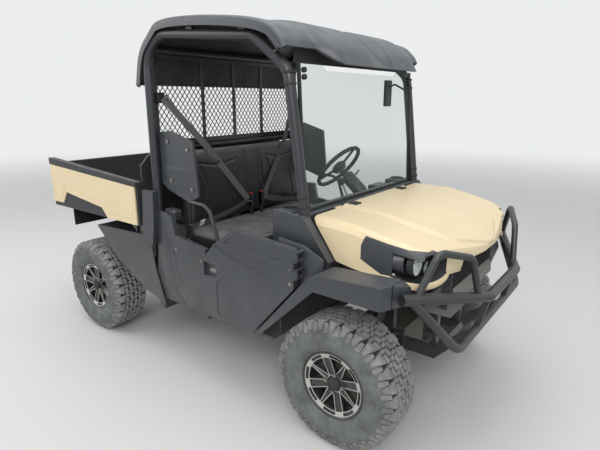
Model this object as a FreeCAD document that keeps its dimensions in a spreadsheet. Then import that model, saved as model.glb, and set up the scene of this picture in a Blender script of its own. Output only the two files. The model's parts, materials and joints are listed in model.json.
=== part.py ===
import FreeCAD, Part

import math
import os

import Sketcher
from FreeCAD import Placement, Rotation, Vector

# A side by side utility vehicle: a tube-framed two-seat cab with a plastic nose in front,
# a tipping load bed behind and four all-terrain wheels.
# Millimetres, +X forward, +Y to the left, +Z up.
# The origin is on the ground, below the middle of the vehicle's outline.

os.makedirs("parts", exist_ok=True)
doc = FreeCAD.newDocument("utility_vehicle")

# Driving sizes.  Places along X are measured from the front axle (front_...) or from the
# rear axle (rear_...), forwards positive, so that a longer wheelbase stretches the doors,
# floor and roof between them.  Heights are above the ground, widths from the centre plane.
SIZES = {
    # Stance
    "wheelbase": 2060,
    "wheelbase_shift": -60,
    "cab_start": 700,
    "cab_end": 400,
    "cab_length": 960,
    "wheel_offset": 622,
    "running_gap": 0.3,
    "panel_gap": 6,
    # Tyres and rims
    "tyre_radius": 330,
    "tyre_width": 245,
    "tyre_tread_half": 86,
    "tyre_crown_drop": 7,
    "tyre_shoulder_radius": 306,
    "tyre_lugs": 18,
    "tyre_groove_depth": 15,
    "bead_radius": 152,
    "bead_half": 104,
    "rim_wall": 7,
    "rim_flange_radius": 172,
    "rim_flange_lip": 8,
    "rim_disc_depth": 18,
    "rim_disc_thickness": 16,
    "rim_hub_radius": 52,
    "rim_hub_length": 66,
    "rim_window_inner": 66,
    "rim_window_outer": 132,
    "rim_window_spread": 13,
    "rim_spokes": 8,
    "spindle_radius": 17,
    # Knuckles, arms, shocks
    "kingpin_offset": 560,
    "knuckle_height": 190,
    "knuckle_width": 60,
    "knuckle_depth": 40,
    "steering_arm_reach": 84,
    "arm_tube": 28,
    "arm_eye_radius": 17,
    "arm_eye_height": 40,
    "arm_inner_offset": 232,
    "arm_spread": 100,
    "arm_inner_lift": 30,
    "arm_bush_length": 44,
    "arm_pin_radius": 6,
    "arm_bracket_wall": 8,
    "shock_radius": 26,
    "shock_top_offset": 272,
    "shock_top_height": 672,
    "shock_foot_offset": 430,
    # Frame
    "rail_half_outer": 230,
    "rail_tube": 50,
    "rail_top": 400,
    "frame_front": 300,
    "frame_rear": 300,
    "bed_stand_front": 600,
    "bed_hinge_shift": 300,
    "bed_hinge_drop": 92,
    "bed_pin_radius": 9,
    "bed_ear_width": 16,
    "tower_length": 50,
    # Drive line
    "engine_length": 420,
    "engine_width": 360,
    "engine_height": 330,
    "engine_front": 690,
    "axle_case_half": 130,
    "axle_case_length": 180,
    "axle_case_height": 170,
    "half_shaft_radius": 15,
    "joint_cup_radius": 34,
    "joint_cup_length": 46,
    "half_shaft_end": 500,
    "propeller_radius": 20,
    # Floor and seat base
    "floor_height": 440,
    "floor_thickness": 15,
    "floor_half": 690,
    "sill_top": 462,
    "sill_bottom": 417,
    "sill_width": 20,
    "toe_board_front": -390,
    "toe_board_height": 690,
    "floor_rear": 700,
    "seat_base_rear": 715,
    "seat_base_front": 1335,
    "seat_base_half": 560,
    "seat_base_height": 742,
    "tub_wall": 14,
    # Doors
    "door_outer": 760,
    "door_thickness": 40,
    "door_front": -198,
    "door_front_top": 972,
    "door_front_low": 780,
    "door_heel": -470,
    "door_bottom": 470,
    "door_rear": 1219,
    "door_rear_mid": 783,
    "door_rear_upper": 1324,
    "door_rear_upper_height": 898,
    "door_top_rear": 1470,
    "door_top_rear_height": 1002,
    "door_hinge_shift": 14,
    "door_hinge_inset": 3,
    "door_hinge_pin": 6,
    "door_hinge_wall": 5,
    "door_hinge_length": 32,
    "door_hinge_low": 838,
    "door_hinge_high": 922,
    "door_fold_corner": 24,
    "door_groove": 5,
    "door_handle_depth": 22,
    # Side panels behind the doors
    "side_outer": 720,
    "side_rear_low": 955,
    "side_rear_mid": 902,
    "side_rear_top": 879,
    "side_top": 983,
    "side_front_top": 871,
    # Front fenders
    "fender_outer": 778,
    "fender_inner": 630,
    "fender_wall": 8,
    "fender_heel": -447,
    "fender_heel_height": 475,
    "fender_knee": -101,
    "fender_knee_height": 868,
    "fender_shoulder": -52,
    "fender_shoulder_height": 889,
    "fender_crown": 285,
    "fender_crown_height": 904,
    "fender_nose": 360,
    "fender_nose_height": 862,
    "fender_guard_gap": 0.5,
    "fender_band": 88,
    # Cowl and dashboard
    "cowl_rear": -404,
    "cowl_height": 1105,
    "cowl_half": 662,
    "cowl_wall": 16,
    "cowl_deck_rear": -330,
    "cowl_front": -222,
    "cowl_low": 705,
    "dash_depth": 110,
    "dash_top": 1088,
    "dash_bottom": 890,
    "dash_half": 600,
    # Hood
    "hood_rear": -205,
    "hood_height": 1100,
    "hood_half": 620,
    "hood_wall": 6,
    "hood_side_front": 240,
    "hood_tip": 460,
    "hood_tip_height": 955,
    "hood_side_low": 908,
    "hood_side_low_front": 866,
    "hood_corner": -62,
    "hood_nose_low": 812,
    "hood_rounding": 36,
    "hood_ridge": 11,
    "hood_ridge_share": 0.56,
    "hood_ridge_slope": 34,
    "hood_hinge_back": 8.5,
    "hood_hinge_radius": 6.3,
    "hood_hinge_pin": 3,
    "hood_hinge_offset": 340,
    "hood_hinge_length": 60,
    # Lamps and grille
    "bezel_rear": 72,
    "bezel_top": 1048,
    "bezel_low": 858,
    "bezel_inner": 392,
    "bezel_wall": 7,
    "barrel_wall": 9,
    "lamp_radius": 48,
    "lamp_offset": 532,
    "lamp_front": 268,
    "lamp_height": 953,
    "lamp_depth": 60,
    "inner_lamp_radius": 32,
    "inner_lamp_offset": 438,
    "inner_lamp_front": 300,
    "inner_lamp_height": 908,
    "inner_lamp_depth": 60,
    "grille_half_top": 300,
    "grille_half_low": 345,
    "grille_top": 925,
    "grille_low": 770,
    "grille_front": 382,
    "grille_depth": 24,
    "grille_bar": 12,
    "grille_bars": 7,
    "chin_front": 360,
    "chin_half": 532,
    "chin_top": 810,
    "chin_point": 585,
    "chin_wall": 8,
    # Cage
    "cage_tube": 54,
    "cage_post": 745,
    "cage_post_offset": 660,
    "cage_foot": 452,
    "cage_top": 1968,
    "cage_rail_offset": 640,
    "cage_fall": 42,
    "cage_front_bend": -520,
    "cage_collar": -333,
    "cage_collar_height": 1770,
    "cage_collar_offset": 620,
    "pillar_low": -246,
    "pillar_low_height": 1120,
    "pillar_foot": -240,
    "pillar_foot_height": 720,
    "pillar_offset": 612,
    "pillar_foot_offset": 594,
    "cage_bend": 170,
    "cage_cross_high": 1905,
    "cage_cross_low": 1350,
    "cage_cross_tube": 42,
    # Roof
    "roof_half": 701,
    "roof_mount_rear": 1110,
    "roof_mount_front": -590,
    "roof_mount_length": 44,
    "roof_mount_width": 24,
    "roof_wall": 9,
    "roof_skirt": 52,
    "roof_rear_low": 651,
    "roof_rear_low_drop": 252,
    "roof_rear": 697,
    "roof_rear_drop": 65,
    "roof_bend": 811,
    "roof_bend_rise": 31,
    "roof_peak": 879,
    "roof_peak_rise": 85,
    "roof_mid": -841,
    "roof_mid_rise": 77,
    "roof_front": -412,
    "roof_front_rise": 23,
    "roof_brow": -250,
    "roof_brow_drop": 88,
    "roof_lip": -205,
    "roof_lip_drop": 183,
    "roof_lobe": 22,
    "roof_lobe_inner": 110,
    "roof_lobe_outer": 410,
    "roof_flank": 46,
    # Windscreen and rear screen
    "glass_base": -272,
    "glass_top": -306,
    "glass_top_drop": 168,
    "glass_half_low": 580,
    "glass_half_top": 588,
    "glass_thickness": 5,
    "glass_notch": 400,
    "glass_notch_depth": 28,
    "screen_bar": 18,
    "screen_bar_offset": 275,
    "screen_sheet": 4,
    "screen_strand": 6,
    "screen_pitch": 62,
    "screen_edge": 14,
    # Seats
    "seat_half": 575,
    "cushion_rear": 800,
    "cushion_front": 1335,
    "cushion_top": 862,
    "cushion_fall": 24,
    "back_top": 1362,
    "back_low_rear": 800,
    "back_thickness": 88,
    # Guards beside the seats
    "guard_offset": 626,
    "guard_thickness": 16,
    "guard_relief": 4,
    "handhold_tube": 22,
    # Belts
    "belt_width": 46,
    "belt_thickness": 3,
    "belt_anchor_height": 1645,
    "buckle_reach": 140,
    "lap_reach": 120,
    "buckle_offset": 52,
    "buckle_height": 985,
    # Rear fenders and duct
    "rear_fender_outer": 706,
    "rear_fender_inner": 470,
    "rear_fender_wall": 7,
    "duct_rear": 640,
    "duct_top": 1110,
    "duct_low": 770,
    # Bed
    "bed_rear": -410,
    "bed_front": 640,
    "bed_half": 742,
    "bed_panel_thickness": 10,
    "bed_side_thickness": 34,
    "bed_floor": 892,
    "bed_floor_thickness": 12,
    "bed_rail_rear": 1228,
    "bed_rail_front": 1155,
    "bed_panel_low_rear": 911,
    "bed_panel_low_front": 884,
    "bed_rail_band": 46,
    "bed_rail_band_front": 32,
    "bed_relief": 3,
    "bed_wall": 14,
    "headboard_top": 1328,
    "headboard_shoulder": 1248,
    "headboard_half_top": 605,
    "headboard_half": 690,
    "arch_rear": -272,
    "arch_front": 237,
    "arch_height": 88,
    "arch_slope": 60,
    # Tailgate
    "tailgate_thickness": 30,
    "tailgate_top": 1190,
    "tailgate_pin": 7,
    # Brush guard
    "guard_tube": 50,
    "hoop_tube": 32,
    "guard_end": 321,
    "guard_end_offset": 703,
    "guard_end_height": 844,
    "guard_turn": 515,
    "guard_turn_offset": 284,
    "guard_turn_height": 765,
    "guard_front": 540,
    "guard_front_offset": 230,
    "guard_foot": 497,
    "guard_foot_offset": 497,
    "guard_foot_height": 582,
    "hoop_outer": 405,
    "hoop_outer_offset": 552,
    "hoop_outer_height": 1026,
    "hoop_inner": 484,
    "hoop_inner_offset": 358,
    "hoop_inner_height": 967,
    # Steering wheel
    "wheel_ring_radius": 172,
    "wheel_ring_tube": 14,
    "wheel_reach": 350,
    "wheel_y": 360,
    "wheel_z": 1190,
    "column_angle": 40,
    "column_radius": 24,
    "steering_shaft_radius": 11,
    # Mirror
    "mirror_x": -540,
    "mirror_offset": 739,
    "mirror_height": 176,
    "mirror_width": 78,
    "mirror_centre_height": 1676,
    "mirror_thickness": 22,
    # Tail and hitch
    "hitch_outer": 63.5,
    "hitch_inner": 51,
    "hitch_length": 230,
    "hitch_pin": 8.2,
    "hitch_rear": -445,
    "tail_lamp_width": 60,
    "tail_lamp_height": 90,
    "tail_lamp_offset": 560,
    "tail_lamp_drop": 30,
    "tail_plate_half": 640,
    "tail_plate_drop": 88,
    "tail_plate_rise": 38,
    "tail_plate": 346,
    "muffler_radius": 75,
    "muffler_shift": -180,
    "muffler_height": 640,
}

sheet = doc.addObject("Spreadsheet::Sheet", "Sizes")
for row, (alias, value) in enumerate(SIZES.items(), start=1):
    sheet.set("A%d" % row, alias)
    sheet.set("B%d" % row, str(value))
    sheet.setAlias("B%d" % row, alias)
doc.recompute()


def formula_of(value):
    """The sheet formula of a length, or the plain number of anything else."""
    return getattr(value, "formula", "(%r)" % float(value))


class Length(float):
    """A number that remembers the sheet formula that gives it."""

    def __new__(cls, value, formula):
        length = float.__new__(cls, value)
        length.formula = formula
        return length

    def joined(self, sign, other, value):
        return Length(value, "(%s %s %s)" % (formula_of(self), sign, formula_of(other)))

    def __add__(self, other):
        return self.joined("+", other, float(self) + float(other))

    def __sub__(self, other):
        return self.joined("-", other, float(self) - float(other))

    def __mul__(self, other):
        return self.joined("*", other, float(self) * float(other))

    def __truediv__(self, other):
        return self.joined("/", other, float(self) / float(other))

    def __neg__(self):
        return Length(-float(self), "(0 - %s)" % self.formula)

    def __radd__(self, other):
        return self + other

    def __rmul__(self, other):
        return self * other

    def __rsub__(self, other):
        return Length(float(other) - float(self), "(%s - %s)" % (formula_of(other), self.formula))


class Sizes:
    """The sheet's cells by name."""

    def __getattr__(self, alias):
        return Length(float(sheet.get(alias)), "Sizes." + alias)


S = Sizes()


def cab_scale():
    """How much the cab between the axles is longer than the one that the sizes are given for."""
    return (S.wheelbase - S.cab_start - S.cab_end) / S.cab_length


def front(shift):
    """X of a place measured from the front axle; places in the cab stretch with it."""
    if shift < -S.cab_end:
        shift = (shift + S.cab_end) * cab_scale() - S.cab_end
    return S.wheelbase / 2 + S.wheelbase_shift + shift


def rear(shift):
    """X of a place measured from the rear axle; places in the cab stretch with it."""
    if shift > S.cab_start:
        shift = (shift - S.cab_start) * cab_scale() + S.cab_start
    return S.wheelbase_shift - S.wheelbase / 2 + shift


def bed_hinge_height():
    """Height of the axis that the bed tips about."""
    return S.bed_floor - S.bed_hinge_drop


def bind(feature, name, length):
    """Bind a property or constraint to the sheet."""
    feature.setExpression(name, formula_of(length))


nodes = []


def keep(feature, label):
    """Register a finished sub-part under its node name."""
    feature.Label = label
    nodes.append(feature)
    return feature


def piece(label, shape):
    """A sub-part whose shape comes from Part's own functions."""
    feature = doc.addObject("Part::Feature", label)
    feature.Shape = shape
    feature.Placement = Placement()
    return keep(feature, label)


def origin_plane(body, role):
    return next(part for part in body.Origin.OriginFeatures if part.Role == role)


def outline(body, role, corners, name, offset=0.0):
    """A closed sketch on an origin plane; each corner is a pair of lengths."""
    sketch = body.newObject("Sketcher::SketchObject", name)
    sketch.AttachmentSupport = [(origin_plane(body, role), "")]
    sketch.MapMode = "FlatFace"
    bind(sketch, "AttachmentOffset.Base.z", offset)
    places = [Vector(float(across), float(up), 0) for across, up in corners]
    following = places[1:] + places[:1]
    for here, there in zip(places, following):
        sketch.addGeometry(Part.LineSegment(here, there), False)
    for side in range(len(corners)):
        after = (side + 1) % len(corners)
        sketch.addConstraint(Sketcher.Constraint("Coincident", side, 2, after, 1))
    for side, corner in enumerate(corners):
        for kind, length in zip(("DistanceX", "DistanceY"), corner):
            constraint = Sketcher.Constraint(kind, -1, 1, side, 1, float(length))
            number = sketch.addConstraint(constraint)
            bind(sketch, "Constraints[%d]" % number, length)
    return sketch


def pad(body, sketch, length, name="Pad"):
    feature = body.newObject("PartDesign::Pad", name)
    feature.Profile = sketch
    bind(feature, "Length", length)
    return feature


def pocket(body, sketch, length, name="Pocket", reversed_=False):
    feature = body.newObject("PartDesign::Pocket", name)
    feature.Profile = sketch
    feature.Reversed = reversed_
    bind(feature, "Length", length)
    return feature


def side_slab(name, corners, near, far):
    """A body padded from one width to another; corners are (x, z) pairs."""
    body = doc.addObject("PartDesign::Body", name)
    sketch = outline(body, "XZ_Plane", corners, name + "_outline", -far)
    pad(body, sketch, far - near)
    return body


def fillet(body, edges, radius):
    """Round the edges of a body's last feature that a test picks."""
    doc.recompute()
    tip = body.Tip
    names = ["Edge%d" % (count + 1) for count, edge in enumerate(tip.Shape.Edges) if edges(edge)]
    feature = body.newObject("PartDesign::Fillet", "Rounding")
    feature.Base = (tip, names)
    bind(feature, "Radius", radius)
    return feature


def pair(label, left):
    """One node of a piece and its mirror image across the centre plane."""
    right = doc.addObject("Part::Mirroring", label + "_right")
    right.Source = left
    right.Normal = Vector(0, 1, 0)
    both = doc.addObject("Part::Compound", label)
    both.Links = [right, left]
    return keep(both, label)


def mirrored(shape):
    return shape.mirror(Vector(), Vector(0, 1, 0))


def box(x_low, x_high, y_low, y_high, z_low, z_high):
    size = (float(x_high - x_low), float(y_high - y_low), float(z_high - z_low))
    return Part.makeBox(*size, Vector(float(x_low), float(y_low), float(z_low)))


def rod(start, end, radius):
    along = end - start
    return Part.makeCylinder(float(radius), along.Length, start, along)


def prism(corners, near, far):
    """A solid from an (x, z) outline between two widths."""
    places = [Vector(float(across), float(near), float(up)) for across, up in corners]
    face = Part.Face(Part.makePolygon(places + places[:1]))
    return face.extrude(Vector(0, float(far - near), 0))


def plan_prism(corners, low, high):
    """A solid from an (x, y) outline between two heights."""
    places = [Vector(float(along), float(across), float(low)) for along, across in corners]
    face = Part.Face(Part.makePolygon(places + places[:1]))
    return face.extrude(Vector(0, 0, float(high - low)))


def inset(corners, distance):
    """An outline moved inwards by a distance; corners run clockwise seen with Z up."""
    moved = []
    count = len(corners)
    for number in range(count):
        before, here, after = (Vector(float(corners[(number + step) % count][0]),
                                      float(corners[(number + step) % count][1]), 0)
                               for step in (-1, 0, 1))
        first = (here - before).normalize()
        second = (after - here).normalize()
        first_side = Vector(first.y, -first.x, 0)
        second_side = Vector(second.y, -second.x, 0)
        reach = float(distance) / (1 + first_side.dot(second_side))
        place = here + (first_side + second_side) * reach
        moved.append((place.x, place.y))
    return moved


def joined(shapes):
    """One solid from pieces that overlap or share faces."""
    return shapes[0].multiFuse(shapes[1:]).removeSplitter()


def route(points, bends):
    """A wire of straight runs joined by tangent arcs."""
    edges = []
    start = points[0]
    for before, corner, after, bend in zip(points, points[1:], points[2:], bends):
        inward = (before - corner).normalize()
        outward = (after - corner).normalize()
        half_turn = (math.pi - inward.getAngle(outward)) / 2
        reach = float(bend) * math.tan(half_turn)
        bisector = (inward + outward).normalize()
        middle = corner + bisector * (float(bend) / math.cos(half_turn) - float(bend))
        first = corner + inward * reach
        last = corner + outward * reach
        edges.append(Part.makeLine(start, first))
        edges.append(Part.Arc(first, middle, last).toShape())
        start = last
    edges.append(Part.makeLine(start, points[-1]))
    return Part.Wire(edges)


def tube(points, bends, diameter):
    """A round bar bent along a route."""
    ring = Part.makeCircle(float(diameter) / 2, points[0], points[1] - points[0])
    return route(points, bends).makePipeShell([Part.Wire(ring)], True, False)


def place(x, y, z):
    return Vector(float(x), float(y), float(z))


# Wheels.  Each is modelled with its outer face towards -Y and turned round for the left side.
wheel_table = [
    # name, axle x, side (-1 right, 1 left)
    ("front_right", front(0), -1),
    ("front_left", front(0), 1),
    ("rear_right", rear(0), -1),
    ("rear_left", rear(0), 1),
]


def wheel_placement(body, axle, side):
    body.Placement = Placement(place(axle, S.wheel_offset * side, S.tyre_radius),
                               Rotation(Vector(0, 0, 1), 90 + 90 * side))
    bind(body, "Placement.Base.x", axle)
    bind(body, "Placement.Base.y", S.wheel_offset * side)
    bind(body, "Placement.Base.z", S.tyre_radius)


def tyre_section(raised):
    """Half of the tyre's section as (radius, place along the axle), from bead to crown."""
    half = S.tyre_width / 2
    lip = S.bead_half - S.rim_flange_lip
    seat = S.rim_flange_radius + S.running_gap
    bulge = (S.bead_radius + S.tyre_radius) / 2
    sunk = 0 if raised else S.tyre_groove_depth
    return [
        (S.bead_radius, lip),
        (seat, lip),
        (seat, S.bead_half - 1),
        (S.rim_flange_radius + 12, half - 8),
        (bulge, half),
        (S.tyre_shoulder_radius - sunk * 0.6, half - 6 - sunk * 0.6),
        (S.tyre_radius - S.tyre_crown_drop - sunk, S.tyre_tread_half - sunk * 0.5),
        (S.tyre_radius, S.tyre_tread_half * 0.45),
    ]


def tyre_shape(axle, side):
    """A tyre with flat sides, whose shoulder lugs and grooves take turns round each edge."""
    count = int(S.tyre_lugs) * 2
    step = 2 * math.pi / count
    stretch = 1 / math.cos(step / 2)
    centre = place(axle, S.wheel_offset * side, S.tyre_radius)

    def spot(corner, hand, turn):
        radius, along = float(corner[0]) * stretch, float(corner[1])
        return centre + Vector(radius * math.sin(turn), along * hand, -radius * math.cos(turn))

    lug, groove = tyre_section(True), tyre_section(False)
    shared = 4
    faces = []
    for number in range(count):
        low, high = (number - 0.5) * step, (number + 0.5) * step
        rings = []
        for hand in (-1, 1):
            section = lug if (number % 2 == 0) == (hand > 0) else groove
            rings.append([(corner, hand) for corner in section])
            steps = [(lug[shared], hand)] + [(corner, hand) for corner in lug[shared + 1:-1]]
            steps += [(lug[-1], hand)]
            steps += [(corner, hand) for corner in reversed(groove[shared + 1:-1])]
            wall = [spot(corner, way, low) for corner, way in steps]
            faces.append(Part.Face(Part.makePolygon(wall + wall[:1])))
        loop = rings[0] + rings[1][::-1]
        for near, far in zip(loop, loop[1:] + loop[:1]):
            flat = [spot(*near, low), spot(*far, low), spot(*far, high), spot(*near, high)]
            faces.append(Part.Face(Part.makePolygon(flat + flat[:1])))
    shell = Part.makeShell(faces)
    shell.sewShape()
    solid = Part.makeSolid(shell)
    return solid if solid.Volume > 0 else solid.reversed()


def revolved(body, corners, name):
    """Turn an outline of (radius, place along the axle) round the axle."""
    sketch = outline(body, "XY_Plane", corners, name)
    feature = body.newObject("PartDesign::Revolution", name + "_turned")
    feature.Profile = sketch
    feature.ReferenceAxis = (sketch, ["V_Axis"])
    feature.Angle = 360
    return feature


def rim(name, axle, side):
    body = doc.addObject("PartDesign::Body", "rim_" + name)
    seat = S.bead_radius - S.running_gap
    inner = seat - S.rim_wall
    lip = S.rim_flange_lip
    face = -(S.bead_half - S.rim_disc_depth)
    back = face + S.rim_disc_thickness
    hub_end = face + S.rim_hub_length
    bore = S.spindle_radius + S.running_gap
    corners = [
        (S.rim_flange_radius, -S.bead_half),
        (inner + 4, -S.bead_half),
        (inner, face),
        (S.rim_hub_radius, face),
        (S.rim_hub_radius, face - 10),
        (0.0, face - 10),
        (0.0, face + 6),
        (bore, face + 6),
        (bore, hub_end),
        (S.rim_hub_radius, hub_end),
        (S.rim_hub_radius, back),
        (inner, back),
        (inner, S.bead_half),
        (S.rim_flange_radius, S.bead_half),
        (S.rim_flange_radius, S.bead_half - lip + S.running_gap),
        (seat, S.bead_half - lip + S.running_gap),
        (seat, -(S.bead_half - lip + S.running_gap)),
        (S.rim_flange_radius, -(S.bead_half - lip + S.running_gap)),
    ]
    revolved(body, corners, "barrel")
    window = [
        (-S.rim_window_spread * 0.35, S.rim_window_inner),
        (S.rim_window_spread * 0.35, S.rim_window_inner),
        (S.rim_window_spread * 2.2, S.rim_window_outer),
        (-S.rim_window_spread * 2.2, S.rim_window_outer),
    ]
    sketch = outline(body, "XZ_Plane", window, "window", -(face - 2))
    cut = pocket(body, sketch, S.rim_disc_thickness + 8, "Window")
    doc.recompute()
    ring = body.newObject("PartDesign::PolarPattern", "Windows")
    ring.Originals = [cut]
    ring.Axis = (origin_plane(body, "Y_Axis"), [""])
    ring.Angle = 360
    ring.Occurrences = int(S.rim_spokes)
    body.Tip = ring
    wheel_placement(body, axle, side)
    return keep(body, "rim_" + name)


for wheel_name, axle_x, wheel_side in wheel_table:
    piece("tyre_" + wheel_name, tyre_shape(axle_x, wheel_side))
    rim(wheel_name, axle_x, wheel_side)


def upright(axle, side, with_arm):
    """The upright of a wheel with its spindle, in place."""
    inner = S.kingpin_offset - S.knuckle_depth / 2
    outer = S.kingpin_offset + S.knuckle_depth / 2
    half = S.knuckle_width / 2
    tall = S.knuckle_height / 2
    block = box(axle - half, axle + half, inner, outer, S.tyre_radius - tall, S.tyre_radius + tall)
    spindle_end = S.wheel_offset + S.bead_half - S.rim_disc_depth - 6 - S.running_gap
    spindle = rod(place(axle, outer - 1, S.tyre_radius), place(axle, spindle_end, S.tyre_radius),
                  S.spindle_radius)
    bearing = rod(place(axle, outer - 1, S.tyre_radius), place(axle, outer + 26, S.tyre_radius),
                  S.spindle_radius + 22)
    shapes = [block, spindle, bearing]
    if with_arm:
        shapes.append(box(axle - S.steering_arm_reach, axle, inner + 6, outer - 6,
                          S.tyre_radius - 14, S.tyre_radius + 14))
    solid = joined(shapes)
    return solid if side > 0 else mirrored(solid)


piece("knuckle_right", upright(front(0), -1, True))
piece("knuckle_left", upright(front(0), 1, True))


def arm_eye_height(up):
    """Height of a wishbone's eye, above (1) or below (-1) the upright."""
    return S.tyre_radius + (S.knuckle_height / 2 + S.running_gap + S.arm_eye_height / 2) * up


def arm_pivot_height(up):
    """Height of a wishbone's inner pivots."""
    return arm_eye_height(up) + S.arm_inner_lift * (1 if up < 0 else -0.4)


def wishbone(axle, up):
    """One wishbone on the left, with its eye above (1) or below (-1) the upright."""
    eye_half = S.arm_eye_height / 2
    eye = place(axle, S.kingpin_offset, arm_eye_height(up))
    shapes = [Part.makeCylinder(float(S.arm_eye_radius), float(S.arm_eye_height),
                                eye - Vector(0, 0, float(eye_half)))]
    bores = []
    for spread in (-1, 1):
        inner = place(axle + S.arm_spread * spread, S.arm_inner_offset, arm_pivot_height(up))
        start = eye + (inner - eye).normalize() * 4
        shapes.append(rod(start, inner, S.arm_tube * 0.39))
        half = Vector(float(S.arm_bush_length) / 2, 0, 0)
        shapes.append(rod(inner - half, inner + half, S.arm_tube / 2))
        bores.append(rod(inner - half, inner + half, S.arm_pin_radius + S.running_gap))
    return joined(shapes).cut(Part.makeCompound(bores))


def suspension():
    shapes = []
    for axle in (front(0), rear(0)):
        for up in (-1, 1):
            arm = wishbone(axle, up)
            shapes += [arm, mirrored(arm)]
    return shapes


arms = suspension()
piece("front_arms", Part.makeCompound(arms[:4]))
rear_uprights = [upright(rear(0), side, False) for side in (-1, 1)]
left_rear = joined([arms[4], arms[6], rear_uprights[1],
                    rod(place(rear(0), S.kingpin_offset, S.tyre_radius - S.knuckle_height / 2 - 4),
                        place(rear(0), S.kingpin_offset, S.tyre_radius + S.knuckle_height / 2 + 4),
                        9)])
piece("rear_arms", Part.makeCompound([left_rear, mirrored(left_rear)]))


def shock(axle):
    """A shock absorber with its spring, from the upper arm's front leg to the frame's tower."""
    reach = ((S.kingpin_offset - S.shock_foot_offset)
             / (S.kingpin_offset - S.arm_inner_offset))
    leg_height = arm_eye_height(1) - S.arm_inner_lift * 0.4 * reach + S.arm_tube * 0.39
    foot = place(axle + S.arm_spread * reach, S.shock_foot_offset, leg_height)
    head = place(axle + S.arm_spread * reach, S.shock_top_offset, S.shock_top_height)
    along = (head - foot).normalize()
    length = (head - foot).Length
    body = rod(foot + along * 7.4, foot + along * (length - 5.1), 10)
    coil = rod(foot + along * 44, foot + along * (length - 44), S.shock_radius)
    seat_low = rod(foot + along * 38, foot + along * 44, S.shock_radius + 6)
    seat_high = rod(foot + along * (length - 44), foot + along * (length - 38), S.shock_radius + 6)
    return joined([body, coil, seat_low, seat_high])


shocks = [shock(axle) for axle in (front(0), rear(0))]
piece("shocks", Part.makeCompound(shocks + [mirrored(item) for item in shocks]))


def drive_line():
    """Axle cases, half shafts and the propeller shaft between them."""
    half = S.axle_case_length / 2
    tall = S.axle_case_height / 2
    shapes = []
    for axle in (front(0), rear(0)):
        shapes.append(box(axle - half, axle + half, -S.axle_case_half, S.axle_case_half,
                          S.tyre_radius - tall, S.tyre_radius + tall))
        for side in (-1, 1):
            inner = place(axle, (S.axle_case_half - 10) * side, S.tyre_radius)
            end = place(axle, S.half_shaft_end * side, S.tyre_radius)
            cup = place(axle, (S.half_shaft_end - S.joint_cup_length) * side, S.tyre_radius)
            shapes.append(rod(inner, end, S.half_shaft_radius))
            shapes.append(rod(cup, end, S.joint_cup_radius))
    shapes.append(rod(place(rear(half) - 10, 0, S.tyre_radius), place(front(-half) + 10, 0, S.tyre_radius),
                      S.propeller_radius))
    return joined(shapes)


piece("drive_line", drive_line())


def engine():
    block = doc.addObject("Part::Box", "engine_block")
    bind(block, "Length", S.engine_length)
    bind(block, "Width", S.engine_width)
    bind(block, "Height", S.engine_height)
    bind(block, "Placement.Base.x", rear(S.engine_front - S.engine_length))
    bind(block, "Placement.Base.y", -S.engine_width / 2)
    bind(block, "Placement.Base.z", S.rail_top + S.running_gap)
    return keep(block, "engine_block")


engine()


def arm_brackets(axle, side):
    """The plates and pins that carry the wishbones' inner ends on one side."""
    shapes = []
    half = S.arm_bush_length / 2 + S.running_gap
    wall = S.arm_bracket_wall
    for up in (-1, 1):
        height = arm_pivot_height(up)
        low, high = sorted((height + S.arm_tube / 2 * up, S.rail_top - S.rail_tube / 2))
        for spread in (-1, 1):
            middle = axle + S.arm_spread * spread
            for end in (-1, 1):
                near, far = sorted((middle + half * end, middle + (half + wall) * end))
                shapes.append(box(near, far, *sorted(((S.arm_inner_offset - 20) * side,
                                                      (S.arm_inner_offset + 12) * side)),
                                  low, high))
            shapes.append(rod(place(middle - half - 2, S.arm_inner_offset * side, height),
                              place(middle + half + 2, S.arm_inner_offset * side, height),
                              S.arm_pin_radius))
    return shapes


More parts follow.
